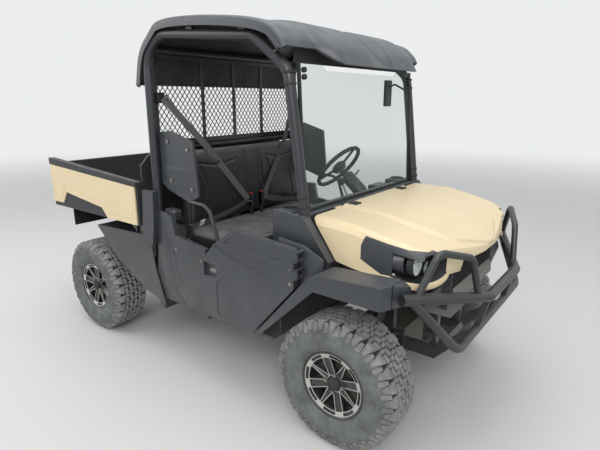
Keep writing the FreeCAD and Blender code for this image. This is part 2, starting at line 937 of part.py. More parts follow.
def frame():
    """Two side rails with cross members, shock towers, bed stands and the tail plate."""
    outer = S.rail_half_outer
    wide = S.rail_tube
    top = S.rail_top
    nose = front(S.frame_front)
    tail = rear(-S.frame_rear)
    shapes = []
    for side in (-1, 1):
        low, high = sorted((outer * side, (outer - wide) * side))
        shapes.append(box(tail, nose, low, high, top - wide, top))
        for axle in (front(0), rear(0)):
            stand_low, stand_high = sorted((outer * side, (outer - 40) * side))
            shapes.append(box(axle + 15, axle + 15 + S.tower_length, stand_low, stand_high,
                              top - 10, S.shock_top_height + 22))
            arm_low, arm_high = sorted((outer * side, (S.shock_top_offset + 18) * side))
            shapes.append(box(axle + 15, axle + 15 + S.tower_length, arm_low, arm_high,
                              S.shock_top_height + 2, S.shock_top_height + 22))
            shapes += arm_brackets(axle, side)
        ear_low, ear_high = sorted((outer * side, (outer - S.bed_ear_width) * side))
        hinge = rear(-S.bed_hinge_shift)
        shapes.append(box(hinge - 26, hinge + 26, ear_low, ear_high, top - 10,
                          bed_hinge_height() + 24))
        can = rear(S.muffler_shift)
        shapes.append(box(can - 18, can + 18, ear_low, ear_high, top - 10,
                          S.muffler_height + S.muffler_radius * 0.5))
        stand_low, stand_high = sorted((outer * side, (outer - 40) * side))
        stand = rear(S.bed_stand_front)
        shapes.append(box(stand - 20, stand + 20, stand_low, stand_high, top - 10,
                          S.bed_floor - S.bed_floor_thickness - S.running_gap))
        leg_low, leg_high = sorted(((outer - 10) * side, (S.cage_post_offset + 27) * side))
        post = rear(S.cage_post)
        shapes.append(box(post - 25, post + 25, leg_low, leg_high, top - wide, top))
        shapes.append(box(post - 25, post + 25, *sorted(((S.cage_post_offset - 27) * side,
                                                         (S.cage_post_offset + 27) * side)),
                          top - 10, S.cage_foot))
    for shift in (tail + wide / 2, rear(150), rear(S.bed_stand_front), rear(S.floor_rear + 500),
                  front(S.toe_board_front) - 40, front(-180), nose - wide / 2):
        shapes.append(box(shift - wide / 2, shift + wide / 2, -(outer - wide + 1), outer - wide + 1,
                          top - wide, top))
    plate = rear(-S.tail_plate)
    shapes.append(box(plate, plate + 8, -S.tail_plate_half, S.tail_plate_half,
                      bed_hinge_height() - S.tail_plate_drop, bed_hinge_height() + S.tail_plate_rise))
    foot = bed_hinge_height() - S.tail_plate_drop
    for side in (-1, 1):
        low, high = sorted(((outer - 30) * side, (outer - 8) * side))
        shapes.append(box(plate + 7, rear(-S.bed_hinge_shift) - 20, low, high, foot, foot + 40))
    solid = joined(shapes)
    hinge = rear(-S.bed_hinge_shift)
    pin_hole = rod(place(hinge, -outer - 20, bed_hinge_height()),
                   place(hinge, outer + 20, bed_hinge_height()), S.bed_pin_radius + S.running_gap)
    swing = S.panel_gap
    notches = [box(plate - 1, plate + 9, *sorted(((outer - swing) * side,
                                                  (outer + S.bed_ear_width + swing * 1.5) * side)),
                   bed_hinge_height() + swing * 0.5,
                     bed_hinge_height() + S.tail_plate_rise + 1) for side in (-1, 1)]
    return solid.cut(pin_hole).cut(Part.makeCompound(notches))


piece("frame", frame())


def hitch():
    """A square receiver on the tail cross member with its pin hole."""
    half = S.hitch_outer / 2
    tail = rear(S.hitch_rear)
    height = S.rail_top + S.running_gap + half
    outer = box(tail, tail + S.hitch_length, -half, half, height - half, height + half)
    bore = S.hitch_inner / 2
    hollow = box(tail - 1, tail + S.hitch_length - 12, -bore, bore, height - bore, height + bore)
    pin = rod(place(tail + 45, -half - 5, height), place(tail + 45, half + 5, height), S.hitch_pin)
    return outer.cut(hollow).cut(pin)


piece("hitch_receiver", hitch())


def floor_tub():
    """Floor, sills, toe board and the hollow seat base in one moulding."""
    back = rear(S.floor_rear)
    toe = front(S.toe_board_front)
    half = S.floor_half
    top = S.floor_height
    wall = S.tub_wall
    shapes = [box(back, toe, -half, half, top - S.floor_thickness, top),
              box(toe - wall, toe, -(S.fender_inner - S.panel_gap), S.fender_inner - S.panel_gap,
                  top - 1, S.toe_board_height)]
    for side in (-1, 1):
        low, high = sorted((half * side, (half - S.sill_width) * side))
        shapes.append(box(rear(S.door_rear) - 60, front(S.door_heel) + 10, low, high,
                          S.sill_bottom, S.sill_top))
    base_rear = rear(S.seat_base_rear)
    base_front = rear(S.seat_base_front)
    base_half = S.seat_base_half
    shapes.append(box(base_rear, base_front, -base_half, base_half, top - 1, S.seat_base_height))
    solid = joined(shapes)
    hollow = box(base_rear + wall, base_front - wall, -base_half + wall, base_half - wall,
                 top - S.floor_thickness - 5, S.seat_base_height - wall)
    notch_near = S.cage_post_offset - S.cage_tube / 2 - S.running_gap
    notches = [box(back - 1, rear(S.cage_post) + S.cage_tube / 2 + S.running_gap,
                   *sorted((notch_near * side, (half + 1) * side)), 0, 600) for side in (-1, 1)]
    return solid.cut(Part.makeCompound([hollow] + notches))


piece("floor_tub", floor_tub())


def door_corners():
    return [
        (rear(S.door_top_rear), S.door_top_rear_height),
        (front(S.door_front), S.door_front_top),
        (front(S.door_front), S.door_front_low),
        (front(S.door_heel), S.door_bottom),
        (rear(S.door_rear), S.door_bottom),
        (rear(S.door_rear), S.door_rear_mid),
        (rear(S.door_rear_upper), S.door_rear_upper_height),
    ]


# Door hinges: each row is the height at which a knuckle starts.
hinge_starts = [S.door_hinge_low, S.door_hinge_high]


def hinge_place(height):
    return place(front(S.door_front + S.door_hinge_shift),
                 S.door_outer - S.door_hinge_inset, height)


def door_reliefs():
    """What is pressed out of the left door's face: two steps, the lower field, the handle's cup."""
    edge = front(S.door_front) - 82
    upper = [
        (rear(S.door_top_rear) - 42, 944),
        (rear(S.door_top_rear) + 4, 962),
        (edge, 936),
        (edge, 901),
        (rear(S.door_top_rear) - 68, 924),
    ]
    step = [
        (rear(S.door_rear_upper) + 6, 891),
        (rear(S.door_rear_upper) + 30, 908),
        (edge, 861),
        (edge, 780),
        (edge - 80, 805),
        (rear(S.door_rear_upper) + 110, 850),
    ]
    field = [
        (rear(S.door_rear_upper) + 10, 690),
        (rear(S.door_rear_upper) + 70, 735),
        (rear(S.door_rear_upper) + 205, 640),
        (rear(S.door_rear_upper) + 150, S.door_bottom + 30),
        (rear(S.door_rear_upper) + 10, S.door_bottom + 30),
    ]
    cup = [
        (rear(S.door_rear) + 22, 708),
        (rear(S.door_rear) + 22, 790),
        (rear(S.door_rear) + 110, 780),
        (rear(S.door_rear) + 122, 740),
        (rear(S.door_rear) + 100, 708),
    ]
    depths = [(upper, S.door_groove), (step, S.door_groove), (field, S.door_groove * 0.8),
              (cup, S.door_handle_depth)]
    return [prism(corners, S.door_outer - depth, S.door_outer + 1) for corners, depth in depths]


def door():
    """The left door: a pressed slab with hinge knuckles on its front edge."""
    body = side_slab("door_slab", door_corners(), S.door_outer - S.door_thickness, S.door_outer)
    fillet(body, lambda edge: abs(edge.BoundBox.YLength - float(S.door_thickness)) < 0.01,
           S.door_fold_corner)
    doc.recompute()
    slab = body.Shape.cut(Part.makeCompound(door_reliefs()))
    bore = S.door_hinge_pin + S.running_gap
    outer = bore + S.door_hinge_wall
    knuckles = []
    for start in hinge_starts:
        foot = hinge_place(start)
        knuckle = Part.makeCylinder(float(outer), float(S.door_hinge_length), foot)
        leaf = box(front(S.door_front) - 30, foot.x, foot.y - outer * 0.2, foot.y + outer,
                   start, start + S.door_hinge_length)
        knuckles.append(joined([knuckle, leaf]).cut(
            Part.makeCylinder(float(bore), float(S.door_hinge_length), foot)))
    return joined([slab] + knuckles)


def mirrored_place(point):
    return Vector(point.x, -point.y, point.z)


left_door = door()
piece("door_right", mirrored(left_door))
piece("door_left", left_door)


def side_panels():
    """The fixed body sides between the rear fenders and the doors."""
    gap = S.panel_gap
    corners = [
        (rear(S.side_rear_top), S.side_top),
        (rear(S.side_rear_top) + 55, S.side_top),
        (rear(S.side_rear_top) + 80, S.side_front_top),
        (rear(S.door_rear) - gap, S.side_front_top - 33),
        (rear(S.door_rear) - gap, S.sill_top + 0.5),
        (rear(S.door_rear) - gap, S.sill_bottom),
        (rear(S.side_rear_low) + 101, S.sill_bottom + 59),
        (rear(S.side_rear_low), S.sill_bottom + 147),
        (rear(S.side_rear_mid), S.door_rear_mid - 10),
    ]
    hatch = [
        (rear(S.side_rear_top) + 22, S.side_front_top - 24),
        (rear(S.door_rear) - 38, S.side_front_top - 86),
        (rear(S.door_rear) - 38, S.sill_top + 30),
        (rear(S.side_rear_low) + 118, S.sill_bottom + 92),
        (rear(S.side_rear_low) + 30, S.sill_bottom + 176),
        (rear(S.side_rear_mid) + 24, S.door_rear_mid),
    ]
    panel = prism(corners, S.floor_half + S.running_gap, S.side_outer)
    seam = prism(hatch, S.side_outer - 4, S.side_outer + 1)
    seam = seam.cut(prism(inset(hatch, 6), S.side_outer - 5, S.side_outer + 2))
    panel = panel.cut(seam)
    return [mirrored(panel), panel]


piece("side_panels", Part.makeCompound(side_panels()))


def fender_line():
    """The fender's upper line from its heel to its nose."""
    return [
        (front(S.fender_heel), S.fender_heel_height),
        (front(S.fender_knee), S.fender_knee_height),
        (front(S.fender_shoulder), S.fender_shoulder_height),
        (front(S.fender_crown), S.fender_crown_height),
        (front(S.fender_nose), S.fender_nose_height),
    ]


def ahead_of_nose(back):
    """The space ahead of the slanting front of the left fender, which runs behind the guard."""
    end = place(front(S.guard_end), S.guard_end_offset, 0)
    turn = place(front(S.guard_turn), S.guard_turn_offset, 0)
    along = (turn - end).normalize()
    behind = Vector(along.y, -along.x, 0)
    start = end + behind * float(S.guard_tube / 2 + S.fender_guard_gap + back)
    corners = [start - along * 300, start + along * 600,
               start + along * 600 - behind * 400, start - along * 300 - behind * 400]
    return plan_prism([(corner.x, corner.y) for corner in corners], 0, 1500)


def front_fender():
    """The left front fender: a shelf with a skirt on its outer edge and a slanting nose."""
    upper = fender_line()
    band = S.fender_band
    lower = [
        (front(S.fender_nose), S.fender_nose_height - band * 0.65),
        (front(S.fender_crown), S.fender_crown_height - band * 1.2),
        (front(S.fender_knee) + band * 0.27, S.fender_knee_height - band * 0.75),
        (front(S.fender_heel) + band * 0.62, S.fender_heel_height + band * 0.27),
    ]
    solid = prism(upper + lower, S.fender_inner, S.fender_outer).cut(ahead_of_nose(0))
    wall = S.fender_wall
    under = [(along, height - wall * 1.3) for along, height in upper]
    under[0] = (under[0][0] + wall, under[0][1])
    depth = [(front(S.fender_nose) - wall, 0), (front(S.fender_heel) + wall, 0)]
    under[-1] = (under[-1][0] - wall, under[-1][1])
    hollow = prism(under + depth, S.fender_inner - 1, S.fender_outer - wall)
    return solid.cut(hollow.cut(ahead_of_nose(wall)))


fender = front_fender()
piece("front_fenders", Part.makeCompound([mirrored(fender), fender]))


def roof_line():
    """The roof's outer line from its rear edge to its front lip, clockwise."""
    return [
        (rear(S.roof_rear_low), S.cage_top - S.roof_rear_low_drop),
        (rear(S.roof_rear), S.cage_top - S.roof_rear_drop),
        (rear(S.roof_bend), S.cage_top + S.roof_bend_rise),
        (rear(S.roof_peak), S.cage_top + S.roof_peak_rise),
        (front(S.roof_mid), S.cage_top + S.roof_mid_rise),
        (front(S.roof_front), S.cage_top + S.roof_front_rise),
        (front(S.roof_brow), S.cage_top - S.roof_brow_drop),
        (front(S.roof_lip), S.cage_top - S.roof_lip_drop),
    ]


def roof_underside(along):
    """Height of the roof panel's inner face at a place along the vehicle."""
    inner = inset(roof_line(), S.roof_wall)
    for (x_near, z_near), (x_far, z_far) in zip(inner[1:], inner[2:]):
        if x_near <= along <= x_far:
            return z_near + (z_far - z_near) * ((along - x_near) / (x_far - x_near))
    raise ValueError("no roof above this place")


def pillar_points():
    """The centre line of one side of the cage on the left, from post foot to pillar foot."""
    return [
        place(rear(S.cage_post), S.cage_post_offset, S.cage_foot),
        place(rear(S.cage_post), S.cage_post_offset, S.cage_top + 20),
        place(front(S.cage_front_bend), S.cage_rail_offset, S.cage_top - S.cage_fall),
        place(front(S.cage_collar), S.cage_collar_offset, S.cage_collar_height),
        place(front(S.pillar_low), S.pillar_offset, S.pillar_low_height),
        place(front(S.pillar_foot), S.pillar_foot_offset, S.pillar_foot_height),
    ]


def cage_side():
    return tube(pillar_points(), [S.cage_bend, S.cage_bend * 0.6, S.cage_bend * 0.7, 200],
                S.cage_tube)


def roof_mount(along):
    """A pad that carries the roof on the left rail of the cage."""
    post, bend = rear(S.cage_post), front(S.cage_front_bend)
    share = (along - post) / (bend - post)
    across = S.cage_post_offset + (S.cage_rail_offset - S.cage_post_offset) * share
    half = S.roof_mount_length / 2
    corners = [(along - half, roof_underside(along - half) - S.running_gap),
               (along + half, roof_underside(along + half) - S.running_gap),
               (along + half, S.cage_top - S.cage_fall * share),
               (along - half, S.cage_top - S.cage_fall * share)]
    return prism(corners, across - S.roof_mount_width / 2, across + S.roof_mount_width / 2)


def cage():
    """The roll cage: two side hoops, the bars across them and the roof's mounts."""
    left = joined([cage_side(), roof_mount(rear(S.roof_mount_rear)),
                   roof_mount(front(S.roof_mount_front))])
    shapes = [left, mirrored(left)]
    post = rear(S.cage_post)
    for height in (S.cage_cross_high, S.cage_cross_low):
        reach = S.cage_post_offset
        shift = 12 if height > S.cage_cross_low + 1 else 0
        shapes.append(rod(place(post + shift, -reach, height), place(post + shift, reach, height),
                          S.cage_cross_tube / 2))
    bend = place(front(S.cage_front_bend) - 20, S.cage_rail_offset, S.cage_top - S.cage_fall - 6)
    shapes.append(rod(mirrored_place(bend), bend, S.cage_cross_tube / 2))
    foot = place(front(S.pillar_foot), S.pillar_foot_offset, S.pillar_foot_height + 20)
    shapes.append(rod(mirrored_place(foot), foot, S.cage_cross_tube / 2))
    return joined(shapes)


roll_cage = cage()
piece("roll_cage", roll_cage)


def hood_hinge_axis():
    """A point on the hood's hinge axis, which runs across the vehicle."""
    return place(front(S.hood_rear) - S.hood_hinge_back, 0, S.hood_height)


def cowl():
    """The deck below the windscreen with its cheeks and the firewall."""
    back = front(S.cowl_rear)
    deck = front(S.cowl_deck_rear)
    nose = front(S.cowl_front)
    half = S.cowl_half
    wall = S.cowl_wall
    top = S.cowl_height
    heel, knee, shoulder = fender_line()[:3]
    steep = (knee[1] - heel[1]) / (knee[0] - heel[0])
    gentle = (shoulder[1] - knee[1]) / (shoulder[0] - knee[0])
    seat = S.running_gap * 1.5
    tip = front(S.hood_corner) - S.panel_gap * 2
    cheek = [
        (back, top + 12),
        (nose, top),
        (tip, S.hood_side_low + 4),
        (tip, knee[1] + (tip - knee[0]) * gentle + seat),
        (knee[0], knee[1] + seat),
        (knee[0] - (knee[1] - S.cowl_low) / steep, S.cowl_low + seat),
        (back, S.cowl_low + seat),
    ]
    shapes = [box(deck, nose, -half + 1, half - 1, top - wall, top),
              box(deck, deck + wall, -half + 1, half - 1, S.cowl_low, top - 1)]
    for side in (-1, 1):
        low, high = sorted(((half - wall) * side, half * side))
        shapes.append(prism(cheek, low, high))
    for start in hinge_starts:
        for edge in (start - 9, start + S.door_hinge_length + 1):
            axis = hinge_place(edge)
            for side in (-1, 1):
                low, high = sorted(((half - 1) * side, (axis.y + 10) * side))
                shapes.append(box(axis.x - 9, axis.x + 9, low, high, edge, edge + 8))
        for side in (-1, 1):
            axis = hinge_place(start - 8)
            axis.y *= side
            shapes.append(Part.makeCylinder(float(S.door_hinge_pin),
                                            float(S.door_hinge_length) + 16, axis))
    axis = hood_hinge_axis()
    ear_wall = 8
    for side in (-1, 1):
        near = S.hood_hinge_offset
        far = near + S.hood_hinge_length
        for low, high in ((near - ear_wall, near), (far, far + ear_wall)):
            shapes.append(box(nose - 6, axis.x + 6, *sorted((low * side, high * side)),
                              top - wall + 2, axis.z + 6))
        shapes.append(rod(Vector(axis.x, float(near - 4) * side, axis.z),
                          Vector(axis.x, float(far + 4) * side, axis.z), S.hood_hinge_pin))
    solid = joined(shapes)
    pillar = tube(pillar_points(), [S.cage_bend, S.cage_bend * 0.6, S.cage_bend * 0.7, 200],
                  S.cage_tube + 2 * S.running_gap)
    foot = place(front(S.pillar_foot), S.pillar_foot_offset, S.pillar_foot_height + 20)
    cross = rod(mirrored_place(foot), foot, S.cage_cross_tube / 2 + S.running_gap)
    return solid.cut(pillar).cut(mirrored(pillar)).cut(cross)


piece("cowl", cowl())


def column_places():
    """The steering wheel's centre, and the unit vector down its column."""
    hub = place(front(S.cowl_deck_rear) - S.wheel_reach, S.wheel_y, S.wheel_z)
    angle = math.radians(float(S.column_angle))
    return hub, Vector(math.cos(angle), 0, -math.sin(angle))


def dashboard():
    """The dash across the cab with the column's hole in it."""
    face = front(S.cowl_deck_rear) - S.dash_depth
    back = front(S.cowl_deck_rear) - S.running_gap
    half = S.dash_half - 30
    body = doc.addObject("PartDesign::Body", "dash_moulding")
    corners = [
        (face + 26, S.dash_top - 12),
        (back, S.dash_top),
        (back, S.dash_bottom),
        (face + 60, S.dash_bottom),
        (face, S.dash_top - 110),
        (face, S.dash_top - 46),
    ]
    sketch = outline(body, "XZ_Plane", corners, "dash_outline", -half)
    pad(body, sketch, half * 2)
    hub, down = column_places()
    column = doc.addObject("Part::Cylinder", "column_hole")
    bind(column, "Radius", S.column_radius + S.running_gap)
    column.Height = 600
    column.Placement = Placement(hub, Rotation(Vector(0, 0, 1), down))
    cut = doc.addObject("Part::Cut", "dashboard")
    cut.Base = body
    cut.Tool = column
    return keep(cut, "dashboard")


dashboard()


def steering():
    """The fixed column, and the wheel turning on its end."""
    hub, down = column_places()
    reach = (float(front(S.cowl_deck_rear)) - 16.6 - hub.x) / down.x
    column = rod(hub + down * 60, hub + down * reach, S.column_radius)
    bore = rod(hub + down * 50, hub + down * 110, S.steering_shaft_radius + S.running_gap)
    piece("steering_column", column.cut(bore))
    ring = Part.makeTorus(float(S.wheel_ring_radius), float(S.wheel_ring_tube), hub, down)
    boss = rod(hub + down * -6, hub + down * 34, 36)
    shaft = rod(hub + down * 30, hub + down * 104, S.steering_shaft_radius)
    shapes = [ring, boss, shaft]
    across = Vector(0, 1, 0)
    up = across.cross(down)
    for turn in (90, 210, 330):
        angle = math.radians(turn)
        along = across * math.cos(angle) + up * math.sin(angle)
        shapes.append(rod(hub + along * 20 + down * 10, hub + along * float(S.wheel_ring_radius), 9))
    piece("steering_wheel", joined(shapes))


steering()


# Hood sections, from the rear edge to the tip.  Each row: place from the front axle, half
# width, height of the top, and how far the side tucks in below the lamps.
hood_sections = [
    (S.hood_rear - 30, S.hood_half - 22, S.hood_height + 1, 0),
    (S.hood_rear + 225, S.hood_half, S.hood_height - 8, 0),
    (S.hood_side_front - 40, S.hood_half - 2, S.hood_height - 44, 0),
    (S.hood_side_front + 50, S.hood_half - 16, S.hood_height - 64, 60),
    (S.hood_side_front + 110, S.hood_half - 48, S.hood_height - 85, 170),
    (S.hood_side_front + 145, S.hood_half - 120, S.hood_height - 98, 170),
    (S.hood_side_front + 170, S.hood_half - 240, S.hood_height - 110, 130),
    (S.hood_tip - 20, S.hood_half - 400, S.hood_tip_height + 13, 60),
    (S.hood_tip, S.hood_half - 530, S.hood_tip_height - 5, 0),
]


def hood_volume(shrink=0.0, low=S.hood_nose_low - 40):
    """The solid under the hood's skin, moved inwards by a distance."""
    wires = []
    for number, (along, half, top, tuck) in enumerate(hood_sections):
        corner = S.hood_rounding
        width = half - shrink
        height = top - shrink
        belt = S.hood_height - 190
        crease = (width - corner) * S.hood_ridge_share
        right = [
            (width - tuck, low),
            (width, belt),
            (width, height - corner),
            (width - corner * 0.29, height - corner * 0.29),
            (width - corner, height),
            (crease + S.hood_ridge_slope * width / S.hood_half, height),
            (crease, height + S.hood_ridge),
        ]
        left = [(-across, up) for across, up in reversed(right)]
        station = front(along) - (shrink if number == len(hood_sections) - 1 else 0)
        places = [place(station, across, up) for across, up in right + left]
        wires.append(Part.makePolygon(places + places[:1]))
    return Part.makeLoft(wires, True, True)


def hood():
    """The hood: a thin shell open below, with windows for the lamp pods and the grille."""
    side = [
        (front(S.hood_rear), S.hood_height + 40),
        (front(S.hood_tip) + 20, S.hood_height + 40),
        (front(S.hood_tip) + 6, S.hood_tip_height - 8),
        (front(S.hood_tip) - 36, S.hood_nose_low),
        (front(S.hood_side_front) + 40, S.hood_nose_low + 24),
        (front(S.hood_side_front), S.hood_side_low_front),
        (front(S.hood_corner), S.hood_side_low),
        (front(S.hood_rear), S.hood_height - 8),
    ]
    outer = hood_volume().common(prism(side, -800, 800))
    face = [
        (front(S.hood_tip) - 10, S.hood_tip_height - 14),
        (front(S.hood_tip) - 36 - S.hood_wall, S.hood_nose_low - 60),
        (front(S.hood_rear) - 60, S.hood_nose_low - 60),
        (front(S.hood_rear) - 60, S.hood_height + 60),
        (front(S.hood_tip) - 10, S.hood_height + 60),
    ]
    inner = hood_volume(S.hood_wall, S.hood_nose_low - 80).common(prism(face, -800, 800))
    return outer.cut(inner)


whole_hood = hood()


def bezel_region(grow=0.0):
    """The side outline of a lamp pod, as a prism across the left half."""
    corners = [
        (front(S.bezel_rear) - grow, S.bezel_top - 36),
        (front(S.bezel_rear) + 20, S.bezel_top + 10 + grow),
        (front(S.lamp_front) + 130, S.bezel_top - 42 + grow),
        (front(S.lamp_front) + 130, S.bezel_low - grow),
        (front(S.bezel_rear) + 100, S.bezel_low + 42 - grow),
        (front(S.bezel_rear) - grow, S.bezel_top - 100),
    ]
    return prism(corners, S.bezel_inner - grow, S.hood_half + 60)


def grille_region(grow=0.0):
    corners = [
        (S.grille_half_top + grow, S.grille_top + grow),
        (S.grille_half_low + grow, S.grille_low - 90),
        (-(S.grille_half_low + grow), S.grille_low - 90),
        (-(S.grille_half_top + grow), S.grille_top + grow),
    ]
    places = [place(front(S.grille_front) - 60, across, up) for across, up in corners]
    face = Part.Face(Part.makePolygon(places + places[:1]))
    return face.extrude(Vector(300, 0, 0))


bezel_left = bezel_region(S.running_gap)
cut_hood = whole_hood.cut(bezel_left).cut(mirrored(bezel_left)).cut(grille_region(S.running_gap))
hood_solids = sorted(cut_hood.Solids, key=lambda solid: solid.Volume)


def hood_hinge(side):
    """A hinge barrel with its leaf under the hood's rear edge."""
    axis = hood_hinge_axis()
    low, high = sorted((float(S.hood_hinge_offset + S.running_gap) * side,
                        float(S.hood_hinge_offset + S.hood_hinge_length - S.running_gap) * side))
    start = Vector(axis.x, low, axis.z)
    end = Vector(axis.x, high, axis.z)
    barrel = rod(start, end, S.hood_hinge_radius)
    leaf = box(axis.x, front(S.hood_rear) + 14, low, high, axis.z - S.hood_hinge_radius, axis.z - 1)
    bore = rod(start, end, S.hood_hinge_pin + S.running_gap)
    return joined([barrel, leaf]).cut(bore)


piece("hood", joined([hood_solids[-1], hood_hinge(-1), hood_hinge(1)]))


def lamp_places():
    """Each lamp of the left pod: offset, height, front, depth and radius."""
    return [
        (S.lamp_offset, S.lamp_height, S.lamp_front, S.lamp_depth, S.lamp_radius),
        (S.inner_lamp_offset, S.inner_lamp_height, S.inner_lamp_front, S.inner_lamp_depth,
         S.inner_lamp_radius),
    ]


def bezels():
    """A dark lamp pod: a brow and a lip round a recess, with a barrel for each lamp."""
    region = bezel_region()
    skin = sorted(whole_hood.common(region).Solids, key=lambda solid: solid.Volume)[-1]
    mouth = [
        (front(S.lamp_front) - 44, S.bezel_top - 42),
        (front(S.lamp_front) + 160, S.bezel_top - 84),
        (front(S.lamp_front) + 160, S.bezel_low + 22),
        (front(S.lamp_front) + 32, S.bezel_low + 16),
        (front(S.lamp_front) - 44, S.bezel_low + 48),
    ]
    skin = skin.cut(prism(mouth, S.bezel_inner, S.hood_half + 60))
    inside = hood_volume(S.hood_wall - 1).common(region)
    back = front(S.lamp_front) - S.lamp_depth - S.running_gap
    plate = box(back - 10, back, S.bezel_inner, S.hood_half, S.bezel_low, S.bezel_top)
    cheek = box(back - 10, front(S.lamp_front) + 130, S.bezel_inner,
                S.bezel_inner + S.bezel_wall, S.bezel_low, S.bezel_top)
    shapes = [skin, plate.common(inside), cheek.common(inside)]
    for offset, height, nose, depth, radius in lamp_places():
        end = place(front(nose) - 3, offset, height)
        shapes.append(rod(place(back - 5, offset, height), end, radius + S.barrel_wall))
    shape = joined(shapes)
    for offset, height, nose, depth, radius in lamp_places():
        start = place(front(nose) - depth - S.running_gap, offset, height)
        shape = shape.cut(rod(start, start + Vector(400, 0, 0), radius + S.running_gap))
    return sorted(shape.Solids, key=lambda solid: solid.Volume)[-1]


pod_left = bezels()
piece("lamp_pods", Part.makeCompound([mirrored(pod_left), pod_left]))


def headlamps():
    """The two round lamps of each pod."""
    lamps = []
    for offset, height, nose, depth, radius in lamp_places():
        lamp = rod(place(front(nose) - depth, offset, height), place(front(nose), offset, height),
                   radius)
        lamps += [lamp, mirrored(lamp)]
    return lamps


piece("headlamps", Part.makeCompound(headlamps()))


def grille():
    """The grille between the lamp pods: a frame with bars across it, fixed to the frame."""
    face = front(S.grille_front)
    back = face - S.grille_depth
    clear = 6
    outer = [
        (S.grille_half_top - clear, S.grille_top - clear),
        (S.grille_half_low - clear, S.grille_low - 88),
        (-(S.grille_half_low - clear), S.grille_low - 88),
        (-(S.grille_half_top - clear), S.grille_top - clear),
    ]
    inner = [(across * 0.93, up - 14 if up > 800 else up + 40) for across, up in outer]

    def slab(corners, start, depth):
        places = [place(start, across, up) for across, up in corners]
        return Part.Face(Part.makePolygon(places + places[:1])).extrude(Vector(float(depth), 0, 0))

    ring = slab(outer, back, S.grille_depth).cut(slab(inner, back - 1, S.grille_depth + 2))
    bars = []
    low = float(S.grille_low) - 50
    pitch = (float(S.grille_top) - 20 - low) / (float(S.grille_bars) + 1)
    for number in range(int(S.grille_bars)):
        height = low + pitch * (number + 1)
        bar = box(back + 6, face - 6, -500, 500, height - S.grille_bar / 2,
                  height + S.grille_bar / 2)
        bars.append(bar.common(slab([(across * 1.01, up) for across, up in inner], back, 50)))
    bars.append(box(back + 2, face - 8, -9, 9, low - 30, S.grille_top - 16))
    chin_back = front(S.chin_front) - S.chin_wall
    jaw = S.chin_half + 40
    chin = slab([(S.chin_half, S.chin_top), (jaw, S.chin_top - 50),
                 (S.guard_front_offset - 24, S.chin_point), (24 - S.guard_front_offset, S.chin_point),
                 (-jaw, S.chin_top - 50), (-S.chin_half, S.chin_top)],
                chin_back, S.chin_wall)
    chin = chin.cut(slab([(across * 0.94, up) for across, up in inner], chin_back - 1, 60))
    shapes = [ring, chin] + bars
    for side in (-1, 1):
        low_y, high_y = sorted((150 * side, 190 * side))
        shapes.append(box(front(S.frame_front) - 30, back + 4, low_y, high_y,
                          S.grille_low - 86, S.grille_low - 62))
        shapes.append(box(front(S.frame_front) - 30, front(S.frame_front) - 10, low_y, high_y,
                          S.rail_top, S.grille_low - 62))
    return joined(shapes)


piece("grille", grille())


def roof_section(lobe, brow, lip):
    """The roof's outline at one width.

    lobe raises the front slope; brow and lip are how far those corners move forwards and up.
    """
    line = roof_line()
    line[5] = (line[5][0], line[5][1] + lobe)
    for number, (ahead, up) in ((6, brow), (7, lip)):
        line[number] = (line[number][0] + ahead, line[number][1] + up)
    return line + [(line[-1][0] - 30, line[-1][1] - 4), (line[0][0] + 40, line[0][1] - 4)]


def roof_sections():
    """Widths across the roof with the outline at each, from the right side to the left."""
    lobe = S.roof_lobe
    strip = roof_section(0.0, (-66.0, 28.0), (-88.0, 80.0))
    crown = roof_section(lobe, (18.0, lobe), (34.0, 12.0))
    channel = roof_section(0.0, (-14.0, 0.0), (22.0, 12.0))
    half = [
        (S.roof_lobe_inner - S.roof_flank, channel),
        (S.roof_lobe_inner, crown),
        (S.roof_lobe_outer, crown),
        (S.roof_lobe_outer + S.roof_flank, strip),
        (S.roof_half, strip),
    ]
    return [(-across, section) for across, section in reversed(half)] + half


def roof_volume(shrink, sink):
    """The solid under the roof's skin, moved inwards, with its open foot moved down."""
    wires = []
    for across, corners in roof_sections():
        edge = S.roof_half - shrink
        wide = max(-edge, min(edge, across))
        moved = inset(corners, shrink) if shrink else corners
        moved = moved[:-2] + [(along, up - sink) for along, up in moved[-2:]]
        places = [place(along, wide, up) for along, up in moved]
        wires.append(Part.makePolygon(places + places[:1]))
    return Part.makeLoft(wires, True, True)


def roof():
    """The moulded roof: a shell with two lobes over its brow and a skirt along its sides."""
    strip = roof_sections()[0][1]
    skirt = S.roof_skirt
    heel, brow, lip = strip[0], strip[6], strip[7]
    window_corners = inset(strip, skirt)[:6] + [
        (brow[0] - skirt, brow[1] - skirt * 0.6),
        (lip[0] - skirt * 1.1, lip[1] - skirt * 2),
        (heel[0] + skirt * 0.8, heel[1] - skirt * 2),
    ]
    window = prism(window_corners, -S.roof_half - 1, S.roof_half + 1)
    return roof_volume(0, 0).cut(roof_volume(S.roof_wall, 40)).cut(window)


piece("roof", roof())


def windscreen():
    """A flat pane between the front pillars with a shallow notch in its top edge."""
    low = (front(S.glass_base), S.cowl_height + S.running_gap)
    high = (front(S.glass_top), S.cage_top - S.glass_top_drop)
    notch_height = S.cage_top - S.glass_top_drop - S.glass_notch_depth
    share = (notch_height - low[1]) / (high[1] - low[1])
    notch_x = low[0] + (high[0] - low[0]) * share
    notch = S.glass_notch
    corners = [
        (low[0], -S.glass_half_low, low[1]),
        (high[0], -S.glass_half_top, high[1]),
        (high[0], -notch, high[1]),
        (notch_x, -notch + 40, notch_height),
        (notch_x, notch - 40, notch_height),
        (high[0], notch, high[1]),
        (high[0], S.glass_half_top, high[1]),
        (low[0], S.glass_half_low, low[1]),
    ]
    places = [place(*corner) for corner in corners]
    face = Part.Face(Part.makePolygon(places + places[:1]))
    return face.extrude(Vector(float(S.glass_thickness), 0, 0))


piece("windscreen", windscreen())


